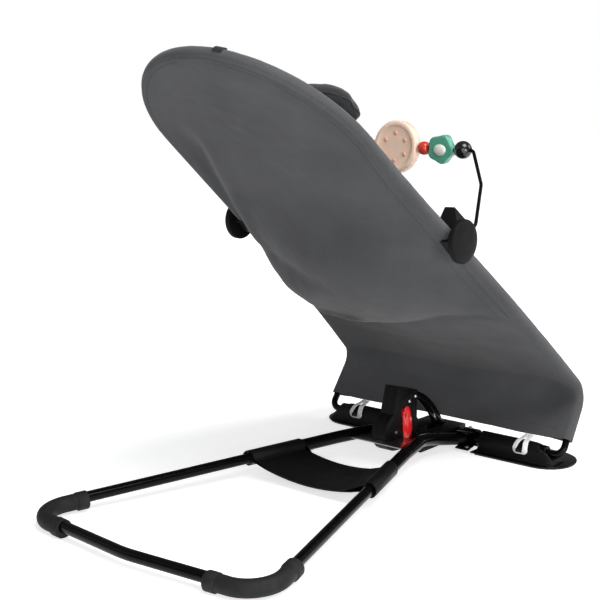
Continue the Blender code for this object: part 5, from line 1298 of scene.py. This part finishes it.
def make_stage():
    size = 6.0
    level = -0.0003
    corners = [(a * size, b * size, level) for a, b in ((-1, -1), (1, -1), (1, 1), (-1, 1))]
    mesh = bpy.data.meshes.new("floor")
    mesh.from_pydata(corners, [], [(0, 1, 2, 3)])
    floor = placed("floor", mesh)
    look = Looks("floor_paper", (0.80, 0.80, 0.80), 0.9, specular=0.1)
    # Far from the part the paper fades to plain white; near it the shadow shows.
    away = look.node("ShaderNodeVectorMath", {0: look.place}, operation="LENGTH").outputs["Value"]
    reach = {"Value": away, "From Min": 0.40, "From Max": 1.0, "To Min": FLOOR_GLOW, "To Max": 1.0}
    fade = look.node("ShaderNodeMapRange", reach, interpolation_type="SMOOTHSTEP").outputs["Result"]
    ray = look.node("ShaderNodeLightPath").outputs
    seen = look.math("MAXIMUM", ray["Is Camera Ray"], ray["Is Glossy Ray"])
    glow = look.node("ShaderNodeEmission", {"Strength": look.math("MULTIPLY", seen, fade)})
    both = look.node("ShaderNodeAddShader", {0: look.shader.outputs[0], 1: glow.outputs[0]})
    look.tree.links.new(both.outputs[0], look.tree.nodes["Material Output"].inputs["Surface"])
    mesh.materials.append(look.material)

    world = bpy.data.worlds.new("studio")
    bpy.context.scene.world = world
    world.use_nodes = True
    tree = world.node_tree
    light = tree.nodes["Background"]
    light.inputs["Color"].default_value = (0.95, 0.97, 1.0, 1)
    light.inputs["Strength"].default_value = SKY
    white = add_node(tree, "ShaderNodeBackground", {"Color": (1.0, 1.0, 1.0), "Strength": 1.0})
    ray = add_node(tree, "ShaderNodeLightPath").outputs
    seen = add_node(tree, "ShaderNodeMath", {0: ray["Is Camera Ray"], 1: ray["Is Transmission Ray"]},
                    operation="MAXIMUM")
    mix = add_node(tree, "ShaderNodeMixShader",
                   {0: seen.outputs[0], 1: light.outputs[0], 2: white.outputs[0]})
    tree.links.new(mix.outputs[0], tree.nodes["World Output"].inputs["Surface"])


# Name, place, height of the aim, size in m and power in W
LAMPS = (("top", (-1.1, 0.2, 2.3), 0.2, (1.3, 1.3), 46),
         ("key", (-2.7, 0.95, 0.60), 0.25, (1.1, 0.9), 30),
         ("fill", (-1.7, 2.3, 0.9), 0.25, (1.5, 1.2), 18),
         ("rim", (1.9, 1.6, 1.3), 0.25, (1.2, 1.4), 2),
         ("front", (-1.6, -2.0, 1.5), 0.3, (1.8, 1.2), 18))


def make_lights():
    for name, place, aim, size, power in LAMPS:
        data = bpy.data.lights.new(name, "AREA")
        data.shape = "RECTANGLE"
        data.size, data.size_y = size
        data.energy = power
        lamp = placed(name, data)
        lamp.location = place
        lamp.rotation_mode = "QUATERNION"
        lamp.rotation_quaternion = (Vector((0, 0, aim)) - Vector(place)).to_track_quat("-Z", "Y")


def make_camera():
    """The camera that was fitted to the photograph."""
    image = 600
    focal = 1287.383
    middle_x, middle_y = 301.05, 292.76
    sensor = 36.0
    forward = unit(np.array([0.6419, -0.7457, -0.1783]))
    roll = radians(-0.4469)
    place = np.array([-0.9566, 1.4115, 0.5109]) + SHIFT
    level = unit(np.cross(forward, (0, 0, 1)))
    above = np.cross(level, forward)
    right = cos(roll) * level + sin(roll) * above
    up = -sin(roll) * level + cos(roll) * above
    data = bpy.data.cameras.new("camera")
    camera = placed("camera", data)
    matrix = Matrix.Identity(4)
    for row in range(3):
        matrix[row][:] = right[row], up[row], -forward[row], place[row]
    camera.matrix_world = matrix
    data.sensor_width = sensor
    data.lens = focal / image * sensor
    data.shift_x = (image / 2 - middle_x) / image
    data.shift_y = (middle_y - image / 2) / image
    data.clip_start = 0.05
    data.clip_end = 50
    bpy.context.scene.camera = camera


make_tubes()
make_rod()
sling_grid, first_panel = make_sling()
rear_grid = make_rear_cover()
make_pillow()
make_restraint()
sew(sling_grid, first_panel, rear_grid)
make_tab()
for side_sign, side_name in SIDES:
    make_elastic(side_sign, side_name)
make_toys()
dress_rest()
make_stage()
make_lights()
make_camera()

bpy.context.scene.view_settings.view_transform = "Standard"
